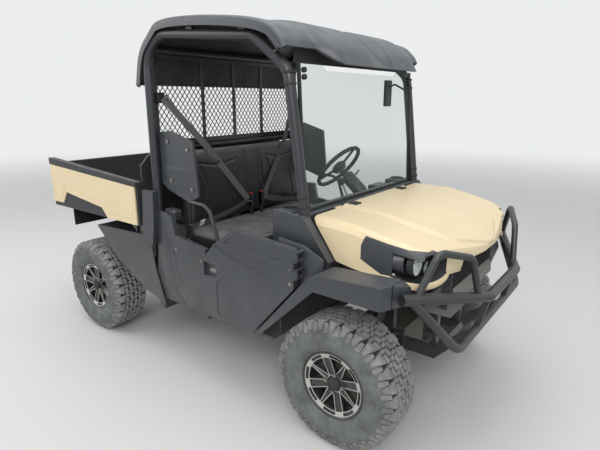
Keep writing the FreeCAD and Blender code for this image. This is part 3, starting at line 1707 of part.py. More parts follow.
def rear_screen():
    """The cab's rear guard: upright bars and a sheet of crossed strands in a frame."""
    post = rear(S.cage_post)
    top = S.cage_cross_high - S.cage_cross_tube / 2 - S.running_gap
    low = S.cage_cross_low + S.cage_cross_tube / 2 + S.running_gap
    half = S.cage_post_offset - S.cage_tube / 2 - S.running_gap
    sheet_x = post - S.screen_sheet / 2
    thick = S.screen_sheet
    edge = S.screen_edge
    outer = box(sheet_x, sheet_x + thick * 2, -half, half, low, top)
    inner = box(sheet_x - 1, sheet_x + thick * 2 + 1, -half + edge, half - edge,
                low + edge, top - edge)
    shapes = [outer.cut(inner)]
    window = [box(sheet_x + thick * layer, sheet_x + thick * (layer + 1), -half + 1, half - 1,
                  low + 1, top - 1) for layer in (0, 1)]
    slope = math.radians(62)
    tall = float(top - low)
    reach = tall / math.tan(slope)
    count = int((float(half) * 2 + reach) / float(S.screen_pitch))
    for layer, lean in ((0, 1), (1, -1)):
        strands = []
        for number in range(count + 1):
            foot = -float(half) - reach + (number + 0.5) * float(S.screen_pitch)
            corners = [(foot, low), (foot + reach, top),
                       (foot + reach + S.screen_strand, top), (foot + S.screen_strand, low)]
            places = [place(sheet_x + thick * layer, across * lean, up) for across, up in corners]
            strand = Part.Face(Part.makePolygon(places + places[:1])).extrude(
                Vector(float(thick), 0, 0))
            strands.append(strand.common(window[layer]))
        shapes += strands
    bars = []
    for number in (-1, 0, 1):
        offset = S.screen_bar_offset * number
        bars.append(rod(place(sheet_x + thick * 2 + S.screen_bar / 2 - 1, offset, low),
                        place(sheet_x + thick * 2 + S.screen_bar / 2 - 1, offset, top),
                        S.screen_bar / 2))
    return joined(shapes + bars)


piece("rear_screen", rear_screen())


def seat_cushion():
    body = doc.addObject("PartDesign::Body", "seat_cushion")
    base = S.seat_base_height + S.running_gap
    corners = [
        (rear(S.cushion_rear), S.cushion_top - S.cushion_fall),
        (rear(S.cushion_front) - 40, S.cushion_top),
        (rear(S.cushion_front), S.cushion_top - 34),
        (rear(S.cushion_front) - 14, base),
        (rear(S.cushion_rear), base),
    ]
    sketch = outline(body, "XZ_Plane", corners, "cushion_outline", -S.seat_half)
    pad(body, sketch, S.seat_half * 2)
    return keep(body, "seat_cushion")


seat_cushion()


def seat_back():
    body = doc.addObject("PartDesign::Body", "seat_back")
    thick = S.back_thickness
    low_rear = rear(S.back_low_rear)
    top_rear = rear(S.cage_post) + S.cage_cross_tube / 2 + S.running_gap
    low = S.cushion_top - S.cushion_fall + S.running_gap
    slope = S.cushion_fall / (S.cushion_front - 40 - S.cushion_rear)
    corners = [
        (low_rear, low),
        (top_rear, S.back_top - 20),
        (top_rear + 20, S.back_top),
        (top_rear + thick * 0.8, S.back_top - 12),
        (low_rear + thick + 14, low + 100),
        (low_rear + thick, low + thick * slope),
    ]
    sketch = outline(body, "XZ_Plane", corners, "back_outline", -S.seat_half)
    pad(body, sketch, S.seat_half * 2)
    return keep(body, "seat_back")


seat_back()


def shoulder_guards():
    """Plates beside the seat back that keep the rider's shoulder inside."""
    corners = [
        (rear(S.cage_post) + 28, 1452),
        (rear(877), 1463),
        (rear(1063), 1408),
        (rear(1092), 1104),
        (rear(1020), 1059),
        (rear(836), 1114),
        (rear(S.cage_post) + 28, 1150),
    ]
    low = S.guard_offset
    outer = low + S.guard_thickness
    split = 1238
    upper = [corner for corner in inset(corners, 20) if corner[1] > split]
    upper = upper[:3] + [(upper[2][0] - 8, split + 14), (upper[0][0], split + 14)]
    lower = [corner for corner in inset(corners, 20) if corner[1] < split]
    lower = [(lower[-1][0], split - 14), (upper[3][0], split - 14)] + lower
    plate = prism(corners, low, outer)
    for field in (upper, lower):
        plate = plate.cut(prism(field, outer - S.guard_relief, outer + 1))
    return [mirrored(plate), plate]


piece("shoulder_guards", Part.makeCompound(shoulder_guards()))


def handholds():
    offset = S.guard_offset + S.guard_thickness + S.running_gap + S.handhold_tube / 2
    points = [
        place(rear(1030), offset, 1072),
        place(rear(1144), offset, 1066),
        place(rear(1190), offset, 1040),
        place(rear(1245), offset, 880),
        place(rear(1262), offset, S.side_front_top - 40),
        place(rear(1262), offset, S.floor_height + 0.3),
    ]
    left = tube(points, [30, 40, 60, 20], S.handhold_tube)
    return [mirrored(left), left]


piece("handholds", Part.makeCompound(handholds()))


def strap(start, end, across):
    """A flat strap between two points; across gives its width's direction."""
    along = end - start
    side = (across - along * (across.dot(along) / along.dot(along))).normalize()
    normal = along.cross(side).normalize()
    half = side * (float(S.belt_width) / 2)
    thick = normal * float(S.belt_thickness)
    places = [start - half, start + half, end + half, end - half]
    return Part.Face(Part.makePolygon(places + places[:1])).extrude(thick)


def belts():
    """Each seat's shoulder and lap strap, buckled across the empty seat."""
    anchor = place(rear(S.cage_post) + 49, S.cage_post_offset - 48, S.belt_anchor_height)
    seat_rear = rear(S.back_low_rear)
    buckle = place(seat_rear + S.buckle_reach, S.buckle_offset + 32, S.buckle_height)
    clasp = place(seat_rear + S.buckle_reach, S.buckle_offset + 16, S.buckle_height - 8)
    lap = place(seat_rear + S.lap_reach, S.seat_half - 0.5, S.cushion_top + 24)
    left = joined([strap(anchor, buckle, Vector(0, 1, -0.8)),
                   strap(clasp, lap, Vector(0.5, 0, 1))])
    return [mirrored(left), left]


piece("seat_belts", Part.makeCompound(belts()))


def belt_hardware():
    """Upper anchors, retractor covers, lower anchors, and the buckles on their stalks."""
    post = rear(S.cage_post)
    gap = S.running_gap
    outer = S.cage_post_offset - S.cage_tube / 2
    anchor = box(post + S.screen_sheet * 1.5 + gap, post + 44, outer - 40, outer + gap,
                 S.belt_anchor_height - 30, S.belt_anchor_height + 30)
    retractor = box(post + 30, post + 128, S.seat_half + 8, S.guard_offset - gap,
                    S.cage_cross_low - 180, S.cage_cross_low - 20)
    lap = rear(S.back_low_rear) + S.lap_reach
    lap_anchor = joined([box(lap - 20, lap + 20, S.seat_base_half + gap, S.seat_half + 15,
                             S.seat_base_height - 42, S.seat_base_height - 30),
                         box(lap - 20, lap + 20, S.seat_half + 3, S.seat_half + 15,
                             S.seat_base_height - 42, S.cushion_top + 40)])
    middle = rear(S.back_low_rear) + S.buckle_reach
    stalk = box(middle - 10, middle + 10, S.buckle_offset - 6, S.buckle_offset + 6,
                S.cushion_top + gap, S.buckle_height - 40)
    buckle = box(middle - 15, middle + 15, S.buckle_offset - 12, S.buckle_offset + 12,
                 S.buckle_height - 60, S.buckle_height + 30)
    left = [anchor, retractor, lap_anchor, joined([stalk, buckle])]
    return left + [mirrored(shape) for shape in left]


piece("belt_hardware", Part.makeCompound(belt_hardware()))


def rear_fenders():
    """The curved guards ahead of the rear wheels, with their outer skirts."""
    line = [
        (rear(100), S.bed_floor - 92),
        (rear(325), 597),
        (rear(608), 457),
        (rear(690), 436),
    ]
    tip = (rear(806), 393)
    wall = S.rear_fender_wall
    back = [(along, height - wall * 1.2) for along, height in reversed(line)]
    liner = prism(line + back, S.rear_fender_inner, S.rear_fender_outer)
    skirt = prism([line[0], (rear(690), 823), (rear(730), 600), (rear(800), S.rail_top)]
                  + [tip, line[2], line[1]],
                  S.rear_fender_outer - wall, S.rear_fender_outer)
    web = box(rear(600), rear(612), S.rail_half_outer + S.running_gap, S.rear_fender_outer - 1,
              S.rail_top + 40, 470)
    left = joined([liner, skirt, web])
    duct = prism([(rear(S.duct_rear + 42), S.duct_top), (rear(S.duct_rear + 144), S.duct_top),
                  (rear(S.duct_rear + 130), 900), (rear(S.duct_rear + 102), S.duct_low),
                  (rear(S.duct_rear), S.duct_low), (rear(S.duct_rear + 28), 960)],
                 S.cage_post_offset + S.cage_tube / 2 + 6, S.rear_fender_outer + 20)
    left = joined([left, duct])
    return [mirrored(left), left]


piece("rear_fenders", Part.makeCompound(rear_fenders()))


def bed_rail_foot(along):
    """Height of the lower edge of the bed's side rail at a place along the vehicle."""
    back, nose = rear(S.bed_rear), rear(S.bed_front)
    start = S.bed_rail_rear - S.bed_rail_band
    end = S.bed_rail_front - S.bed_rail_band_front
    return start + (end - start) * ((along - back) / (nose - back))


def bed():
    """The load bed: floor, hollow side walls, headboard and hinge ears."""
    back = rear(S.bed_rear)
    nose = rear(S.bed_front)
    outer = S.bed_half - S.bed_panel_thickness
    inner = outer - S.bed_side_thickness
    floor_low = S.bed_floor - S.bed_floor_thickness
    axis = S.bed_floor - S.bed_floor_thickness + S.tailgate_pin + 8
    floor = box(back + S.tailgate_thickness + 8, nose, -outer, outer, floor_low, S.bed_floor)
    side = [
        (back, S.bed_rail_rear - 2),
        (nose, S.bed_rail_front - 2),
        (nose, floor_low),
        (back, floor_low),
    ]
    rail = [
        (back, S.bed_rail_rear),
        (nose, S.bed_rail_front),
        (nose, bed_rail_foot(nose)),
        (back, bed_rail_foot(back)),
    ]
    shapes = [floor]
    for hand in (-1, 1):
        low, high = sorted((inner * hand, outer * hand))
        shapes.append(prism(side, low, high))
        low, high = sorted(((outer - 1) * hand, S.bed_half * hand))
        shapes.append(prism(rail, low, high))
    head = [
        (-S.headboard_half, floor_low),
        (-S.headboard_half, S.headboard_shoulder),
        (-S.headboard_half_top, S.headboard_top),
        (S.headboard_half_top, S.headboard_top),
        (S.headboard_half, S.headboard_shoulder),
        (S.headboard_half, floor_low),
    ]
    places = [place(nose - S.bed_wall, across, up) for across, up in head]
    face = Part.Face(Part.makePolygon(places + places[:1]))
    shapes.append(face.extrude(Vector(float(S.bed_wall), 0, 0)))
    hinge = rear(-S.bed_hinge_shift)
    ear = S.rail_half_outer + 2
    for hand in (-1, 1):
        low, high = sorted((ear * hand, (ear + S.bed_ear_width) * hand))
        shapes.append(box(hinge - 22, hinge + 22, low, high, bed_hinge_height() - 22,
                          floor_low + 1))
        start, end = sorted(((ear + 1) * hand, (ear - S.bed_ear_width - 6) * hand))
        shapes.append(rod(place(hinge, start, bed_hinge_height()),
                          place(hinge, end, bed_hinge_height()), S.bed_pin_radius))
    solid = joined(shapes)
    pins = rod(place(back + S.tailgate_thickness / 2, -outer + 6, axis),
               place(back + S.tailgate_thickness / 2, outer - 6, axis),
               S.tailgate_pin + S.running_gap)
    return solid.cut(pins)


piece("bed_tub", bed())


def bed_panels():
    """The painted outer side panels with their rail and wheel arch."""
    back = rear(S.bed_rear) + 8
    nose = rear(S.bed_front) - 18
    low = S.bed_panel_low_front
    arch = S.arch_height
    seam = S.running_gap
    corners = [
        (back, bed_rail_foot(back) - seam),
        (nose, bed_rail_foot(nose) - seam),
        (nose, low),
        (rear(S.arch_front) + S.arch_slope, low),
        (rear(S.arch_front), low + arch * 0.7),
        (rear(S.arch_rear) + S.arch_slope, low + arch + 24),
        (rear(S.arch_rear), S.bed_panel_low_rear),
        (back, S.bed_panel_low_rear),
    ]
    panel = prism(corners, S.bed_half - S.bed_panel_thickness, S.bed_half)
    band = prism(inset(corners, 24), S.bed_half - S.bed_relief, S.bed_half + 1)
    band = band.cut(prism(inset(corners, 34), S.bed_half - S.bed_relief - 1, S.bed_half + 2))
    panel = panel.cut(band.common(box(back, nose, 0, S.bed_half + 2, 0, low + arch + 70)))
    return [mirrored(panel), panel]


piece("bed_panels", Part.makeCompound(bed_panels()))


def tailgate():
    """The tailgate between the bed's side walls, hinged on pins at its foot."""
    back = rear(S.bed_rear)
    half = S.bed_half - S.bed_panel_thickness - S.bed_side_thickness - S.panel_gap
    axis = S.bed_floor - S.bed_floor_thickness + S.tailgate_pin + 8
    thick = S.tailgate_thickness
    slab = box(back, back + thick, -half, half, axis - 13, S.tailgate_top)
    pins = rod(place(back + thick / 2, -half - S.panel_gap - 20, axis),
               place(back + thick / 2, half + S.panel_gap + 20, axis), S.tailgate_pin)
    return joined([slab, pins])


piece("tailgate", tailgate())


def brush_guard():
    """The front guard: an upper and a lower bar, two hoops, uprights and a skid plate."""
    end = place(front(S.guard_end), S.guard_end_offset, S.guard_end_height)
    turn = place(front(S.guard_turn), S.guard_turn_offset, S.guard_turn_height)
    nose = place(front(S.guard_front), S.guard_front_offset, S.guard_turn_height - 8)
    other = [mirrored_place(point) for point in (nose, turn, end)]
    upper = tube([end, turn, nose] + other, [60, 70, 70, 60], S.guard_tube)
    start = end + (turn - end) * 0.12
    start.z -= 10
    foot = place(front(S.guard_foot), S.guard_foot_offset, S.guard_foot_height)
    lower = tube([start, foot, mirrored_place(foot), mirrored_place(start)],
                 [70, 70], S.guard_tube * 0.8)
    shapes = [upper, lower]
    hoop_foot = end + (turn - end) * 0.16
    hoop_end = turn + (end - turn) * 0.03
    hoop_points = [
        hoop_foot,
        place(front(S.hoop_outer), S.hoop_outer_offset, S.hoop_outer_height),
        place(front(S.hoop_inner), S.hoop_inner_offset, S.hoop_inner_height),
        hoop_end,
    ]
    hoop = tube(hoop_points, [48, 48], S.hoop_tube)
    shapes += [hoop, mirrored(hoop)]
    for side in (-1, 1):
        low, high = sorted(((S.guard_front_offset - 14) * side, (S.guard_front_offset + 6) * side))
        shapes.append(prism([(nose.x - 20, nose.z), (nose.x + 8, nose.z),
                             (foot.x + 8, foot.z), (foot.x - 20, foot.z)], low, high))
        rail_low, rail_high = sorted((S.rail_half_outer * side,
                                      (S.rail_half_outer - 12) * side))
        nose_x = front(S.frame_front)
        shapes.append(prism([(nose_x + 0.3, S.rail_top - S.rail_tube), (nose_x + 0.3, S.rail_top + 30),
                             (foot.x, foot.z + 8), (foot.x, foot.z - 18)], rail_low, rail_high))
    return joined(shapes)


piece("brush_guard", brush_guard())


def mirror():
    """The mirror on its arm from the left pillar."""
    centre = place(front(S.mirror_x), S.mirror_offset, S.mirror_centre_height)
    half = float(S.mirror_height) / 2
    wide = float(S.mirror_width) / 2
    shell = Part.makeBox(float(S.mirror_thickness), wide * 2, half * 2,
                         centre - Vector(0, wide, half))
    shell = shell.makeFillet(9, [edge for edge in shell.Edges if edge.BoundBox.XLength > 20])
    thick = float(S.mirror_thickness)
    fall = (S.cage_collar_height - S.mirror_centre_height) / (S.cage_collar_height
                                                              - S.pillar_low_height)
    post = place(front(S.cage_collar) + (S.pillar_low - S.cage_collar) * fall,
                 S.cage_collar_offset + (S.pillar_offset - S.cage_collar_offset) * fall,
                 S.mirror_centre_height)
    seat = post + Vector(0, float(S.cage_tube) / 2 + 1, 0)
    foot = Part.makeCylinder(11, 8, seat, Vector(0, 1, 0))
    points = [centre + Vector(thick - 4, 0, 40), centre + Vector(thick + 40, 0, 60),
              seat + Vector(0, 4, 0)]
    arm = tube(points, [14], 13)
    return joined([shell, arm.cut(Part.makeBox(60, 40, 60, seat - Vector(30, 40, 30))), foot])


piece("mirror", mirror())


def tail_lamps():
    plate = rear(-S.tail_plate)
    height = bed_hinge_height() - S.tail_lamp_drop
    lamp = box(plate - 26, plate - S.running_gap, S.tail_lamp_offset - S.tail_lamp_width / 2,
               S.tail_lamp_offset + S.tail_lamp_width / 2,
               height - S.tail_lamp_height / 2, height + S.tail_lamp_height / 2)
    return [mirrored(lamp), lamp]


piece("tail_lamps", Part.makeCompound(tail_lamps()))


def muffler():
    can = doc.addObject("Part::Cylinder", "muffler")
    bind(can, "Radius", S.muffler_radius)
    half = S.rail_half_outer - S.bed_ear_width - S.running_gap
    bind(can, "Height", half * 2)
    can.Placement = Placement(place(rear(S.muffler_shift), -half, S.muffler_height),
                              Rotation(Vector(1, 0, 0), -90))
    bind(can, "Placement.Base.x", rear(S.muffler_shift))
    bind(can, "Placement.Base.y", -half)
    bind(can, "Placement.Base.z", S.muffler_height)
    return keep(can, "muffler")


muffler()

doc.recompute()
for feature in doc.Objects:
    wrong = [state for state in feature.State if state in ("Invalid", "Error")]
    if wrong:
        raise RuntimeError("%s is %s" % (feature.Name, wrong))
for feature in nodes:
    if feature.Shape.isNull() or not feature.Shape.isValid():
        raise RuntimeError("%s has no valid shape" % feature.Label)
    feature.Shape.exportStep("parts/%s.step" % feature.Label)
    print(feature.Label, len(feature.Shape.Solids), round(feature.Shape.Volume / 1e6, 2))
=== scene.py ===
"""A two-seat utility vehicle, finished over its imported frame."""

import json
import math

import bpy
from mathutils import Matrix, Vector
from mathutils.bvhtree import BVHTree

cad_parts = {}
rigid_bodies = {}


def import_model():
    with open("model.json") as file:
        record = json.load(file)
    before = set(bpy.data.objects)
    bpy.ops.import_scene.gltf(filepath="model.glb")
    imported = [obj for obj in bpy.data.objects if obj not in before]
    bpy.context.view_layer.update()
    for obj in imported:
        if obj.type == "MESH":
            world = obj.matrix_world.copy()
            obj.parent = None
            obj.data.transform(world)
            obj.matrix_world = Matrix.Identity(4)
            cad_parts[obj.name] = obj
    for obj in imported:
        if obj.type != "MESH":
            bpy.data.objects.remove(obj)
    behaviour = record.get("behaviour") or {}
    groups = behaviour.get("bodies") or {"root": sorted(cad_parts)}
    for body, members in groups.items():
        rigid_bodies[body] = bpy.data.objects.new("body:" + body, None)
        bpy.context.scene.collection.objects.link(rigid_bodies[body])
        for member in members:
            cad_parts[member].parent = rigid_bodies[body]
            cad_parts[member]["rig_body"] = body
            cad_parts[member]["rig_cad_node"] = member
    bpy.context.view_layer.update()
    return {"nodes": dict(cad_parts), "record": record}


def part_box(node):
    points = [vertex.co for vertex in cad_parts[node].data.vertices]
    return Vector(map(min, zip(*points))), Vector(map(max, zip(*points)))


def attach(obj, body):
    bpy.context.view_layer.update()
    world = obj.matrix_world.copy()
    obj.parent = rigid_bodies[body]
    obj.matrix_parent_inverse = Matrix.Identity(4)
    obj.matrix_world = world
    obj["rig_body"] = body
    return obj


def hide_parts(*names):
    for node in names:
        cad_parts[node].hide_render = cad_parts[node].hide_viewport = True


bl_info = {
    "name": "Utility Vehicle",
    "version": (1, 0, 0),
    "blender": (4, 5, 0),
    "location": "View3D > Sidebar > Utility Vehicle",
    "description": "Builds the finish of a two-seat utility vehicle over its frame",
    "category": "Add Mesh",
}

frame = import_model()
WHEELS = ("front_right", "front_left", "rear_right", "rear_left")
# Where the front and the rear axle stand along the vehicle.
AXLES = (0.970, -1.090)
# Mirrors a piece across the vehicle's centre plane.
FLIP = Matrix.Scale(-1, 4, (0, 1, 0))


def linear(code):
    """Turn an sRGB hex colour into linear RGBA."""
    parts = [int(code[i:i + 2], 16) / 255 for i in (1, 3, 5)]
    return tuple(c / 12.92 if c <= 0.04045 else ((c + 0.055) / 1.055) ** 2.4 for c in parts) + (1.0,)


class UtvSizes(bpy.types.PropertyGroup):
    """Sizes that change the look of the pieces."""

    tread_pitches: bpy.props.IntProperty(
        name="Tread pitches", description="Lugs round each shoulder of a tyre", default=30,
        min=12, max=60)
    tread_depth: bpy.props.FloatProperty(
        name="Tread depth", description="Height of the tread blocks over the carcass",
        default=0.013, min=0.002, unit="LENGTH")
    seam_depth: bpy.props.FloatProperty(
        name="Seam depth", description="Depth of the sewn channels in the seat cover",
        default=0.006, min=0.0, unit="LENGTH")
    cushion_voxel: bpy.props.FloatProperty(
        name="Cushion mesh size", description="Edge length of the cushions before their last division",
        default=0.011, min=0.004, unit="LENGTH")


class UtvColours(bpy.types.PropertyGroup):
    """Colours of the main finishes."""

    tan: bpy.props.FloatVectorProperty(
        name="Tan plastic", description="Hood and bed sides", subtype="COLOR", size=4,
        min=0, max=1, default=linear("#D8C6A2"))
    charcoal: bpy.props.FloatVectorProperty(
        name="Charcoal plastic", description="Fenders, doors and roof", subtype="COLOR", size=4,
        min=0, max=1, default=linear("#33363A"))
    black_steel: bpy.props.FloatVectorProperty(
        name="Black steel", description="Cage, guard and frame", subtype="COLOR", size=4,
        min=0, max=1, default=linear("#25282C"))
    vinyl: bpy.props.FloatVectorProperty(
        name="Seat vinyl", description="Bench cover", subtype="COLOR", size=4,
        min=0, max=1, default=linear("#2B2C2F"))


def add(tree, kind, inputs=(), **settings):
    """Add a node; inputs pairs an input with a value, a socket or a node's first output."""
    node = tree.nodes.new(kind)
    for key, value in settings.items():
        setattr(node, key, value)
    for key, value in dict(inputs).items():
        source = value.outputs[0] if isinstance(value, bpy.types.Node) else value
        if isinstance(source, bpy.types.NodeSocket):
            tree.links.new(source, node.inputs[key])
        else:
            node.inputs[key].default_value = source
    return node


def new_material(name):
    """An empty material, its node tree and the place on the object."""
    material = bpy.data.materials.new(name)
    material.use_nodes = True
    tree = material.node_tree
    tree.nodes.clear()
    return material, tree, add(tree, "ShaderNodeTexCoord").outputs["Object"]


def level_dust(tree, start, dust):
    """The share of dust on faces that look up; a face whose normal rises by start has none."""
    level = 0.95
    facing = add(tree, "ShaderNodeNewGeometry").outputs["Normal"]
    up = add(tree, "ShaderNodeSeparateXYZ", {"Vector": facing}).outputs["Z"]
    return add(tree, "ShaderNodeMapRange", {
        "Value": up, "From Min": start, "From Max": level, "To Min": 0.0, "To Max": dust})


def dusted(name, colour, dust_colour, roughness, grain, relief, dust, low_dust=0.0,
           metallic=0.0, coat=0.0, variation=0.10):
    """A coated or moulded surface: fine grain, uneven tone, and dust that lies on top faces.

    grain is the size of the surface texture in metres, relief its bump strength, dust the
    share of dust on level faces and low_dust the share thrown up near the ground.
    """
    material, tree, place = new_material(name)
    # Tones change over about 200 mm, patches of dust over 90 mm.
    tones, patches = 5.0, 11.0
    hub_height, sill_height = 0.2, 0.85
    tone = add(tree, "ShaderNodeTexNoise", {"Vector": place, "Scale": tones, "Detail": 4.0})
    shade = add(tree, "ShaderNodeMapRange", {
        "Value": tone, "From Min": 0.3, "From Max": 0.7,
        "To Min": 1 - variation, "To Max": 1 + variation})
    base = add(tree, "ShaderNodeVectorMath", {"Vector": colour[:3], "Scale": shade},
               operation="SCALE")
    patch = add(tree, "ShaderNodeTexNoise", {
        "Vector": place, "Scale": patches, "Detail": 6.0, "Roughness": 0.65})
    cloud = add(tree, "ShaderNodeMapRange", {
        "Value": patch, "From Min": 0.35, "From Max": 0.72, "To Min": 0.25, "To Max": 1.0})
    height = add(tree, "ShaderNodeSeparateXYZ", {"Vector": place}).outputs["Z"]
    splash = add(tree, "ShaderNodeMapRange", {
        "Value": height, "From Min": hub_height, "From Max": sill_height,
        "To Min": low_dust, "To Max": 0.0})
    both = add(tree, "ShaderNodeMath", {0: level_dust(tree, 0.1, dust), 1: splash}, operation="ADD")
    share = add(tree, "ShaderNodeMath", {0: both, 1: cloud}, operation="MULTIPLY", use_clamp=True)
    mixed = add(tree, "ShaderNodeMix", {"Factor": share, 6: base, 7: linear(dust_colour)},
                data_type="RGBA")
    rough = add(tree, "ShaderNodeMapRange", {
        "Value": share, "To Min": roughness, "To Max": min(1.0, roughness + 0.35)})
    fine = add(tree, "ShaderNodeTexNoise", {"Vector": place, "Scale": 1 / grain, "Detail": 2.0})
    bump = add(tree, "ShaderNodeBump", {
        "Height": fine, "Strength": relief, "Distance": grain * 0.5})
    skin = add(tree, "ShaderNodeBsdfPrincipled", {
        "Base Color": mixed.outputs[2], "Roughness": rough, "Normal": bump,
        "Metallic": metallic, "Coat Weight": coat})
    add(tree, "ShaderNodeOutputMaterial", {"Surface": skin})
    return material


def machined_alloy():
    """Turned aluminium: fine cutting lines give it a soft streak of light."""
    material, tree, place = new_material("machined_aluminium")
    lines = add(tree, "ShaderNodeTexNoise", {"Vector": place, "Scale": 180.0, "Detail": 2.0})
    rough = add(tree, "ShaderNodeMapRange", {"Value": lines, "To Min": 0.22, "To Max": 0.42})
    bump = add(tree, "ShaderNodeBump", {"Height": lines, "Strength": 0.15, "Distance": 0.0004})
    skin = add(tree, "ShaderNodeBsdfPrincipled", {
        "Base Color": linear("#C9C8C4"), "Metallic": 1.0, "Roughness": rough, "Normal": bump})
    add(tree, "ShaderNodeOutputMaterial", {"Surface": skin})
    return material


def moulded_rubber(name, code, dust_code, dust):
    """Tyre rubber: matt, with dry soil rubbed into the faces; the groove finish is painted darker as
    painted shade in the grooves.
    """
    material, tree, place = new_material(name)
    soil = add(tree, "ShaderNodeTexNoise", {
        "Vector": place, "Scale": 14.0, "Detail": 7.0, "Roughness": 0.7})
    share = add(tree, "ShaderNodeMapRange", {
        "Value": soil, "From Min": 0.36, "From Max": 0.66, "To Min": dust * 0.35, "To Max": dust})
    mixed = add(tree, "ShaderNodeMix", {"Factor": share, 6: linear(code), 7: linear(dust_code)},
                data_type="RGBA")
    fine = add(tree, "ShaderNodeTexNoise", {"Vector": place, "Scale": 260.0, "Detail": 3.0})
    bump = add(tree, "ShaderNodeBump", {"Height": fine, "Strength": 0.25, "Distance": 0.0012})
    skin = add(tree, "ShaderNodeBsdfPrincipled", {
        "Base Color": mixed.outputs[2], "Roughness": 0.86, "Normal": bump})
    add(tree, "ShaderNodeOutputMaterial", {"Surface": skin})
    return material


def seat_vinyl(name, colour, dust):
    """Grained vinyl: 2 mm leather grain, soft sheen, pale dust rubbed into the level faces."""
    material, tree, place = new_material(name)
    grain = add(tree, "ShaderNodeTexVoronoi", {"Vector": place, "Scale": 480.0})
    folds = add(tree, "ShaderNodeTexNoise", {
        "Vector": place, "Scale": 22.0, "Detail": 5.0, "Distortion": 0.4})
    rise = add(tree, "ShaderNodeMath", {0: grain.outputs["Distance"], 1: folds}, operation="ADD")
    bump = add(tree, "ShaderNodeBump", {"Height": rise, "Strength": 0.16, "Distance": 0.0010})
    cloud = add(tree, "ShaderNodeTexNoise", {
        "Vector": place, "Scale": 8.0, "Detail": 7.0, "Roughness": 0.7})
    spread = add(tree, "ShaderNodeMapRange", {
        "Value": cloud, "From Min": 0.34, "From Max": 0.66, "To Min": 0.42, "To Max": 1.0})
    share = add(tree, "ShaderNodeMath", {0: level_dust(tree, 0.2, dust), 1: spread},
                operation="MULTIPLY", use_clamp=True)
    mixed = add(tree, "ShaderNodeMix", {"Factor": share, 6: colour, 7: linear("#8F8F8D")},
                data_type="RGBA")
    rough = add(tree, "ShaderNodeMapRange", {"Value": share, "To Min": 0.42, "To Max": 0.85})
    skin = add(tree, "ShaderNodeBsdfPrincipled", {
        "Base Color": mixed.outputs[2], "Roughness": rough, "Normal": bump})
    add(tree, "ShaderNodeOutputMaterial", {"Surface": skin})
    return material


def woven_webbing(name, code):
    """Polyester belt webbing: a fine uneven rib, with painted shade darker in its valleys and painted
    light on its ridges.
    """
    material, tree, place = new_material(name)
    wave = add(tree, "ShaderNodeTexWave", {"Vector": place, "Scale": 140.0, "Distortion": 1.0})
    rib = wave.outputs["Fac"]
    shade = add(tree, "ShaderNodeMapRange", {"Value": rib, "To Min": 0.75, "To Max": 1.1})
    base = add(tree, "ShaderNodeVectorMath", {"Vector": linear(code)[:3], "Scale": shade},
               operation="SCALE")
    bump = add(tree, "ShaderNodeBump", {"Height": rib, "Strength": 0.3, "Distance": 0.0005})
    skin = add(tree, "ShaderNodeBsdfPrincipled", {
        "Base Color": base, "Roughness": 0.8, "Normal": bump})
    add(tree, "ShaderNodeOutputMaterial", {"Surface": skin})
    return material


def clear_sheet(name, code, roughness, haze):
    """Clear plastic sheet: mostly see-through, with a faint film of dust."""
    material, tree, place = new_material(name)
    cloud = add(tree, "ShaderNodeTexNoise", {"Vector": place, "Scale": 3.0, "Detail": 6.0})
    film = add(tree, "ShaderNodeMapRange", {
        "Value": cloud, "From Min": 0.3, "From Max": 0.7, "To Min": haze * 0.6, "To Max": haze})
    clear = add(tree, "ShaderNodeBsdfTransparent", {"Color": linear(code)})
    gloss = add(tree, "ShaderNodeBsdfPrincipled", {
        "Base Color": linear("#AAB0B0"), "Roughness": roughness})
    skin = add(tree, "ShaderNodeMixShader", {0: film, 1: clear, 2: gloss})
    add(tree, "ShaderNodeOutputMaterial", {"Surface": skin})
    return material


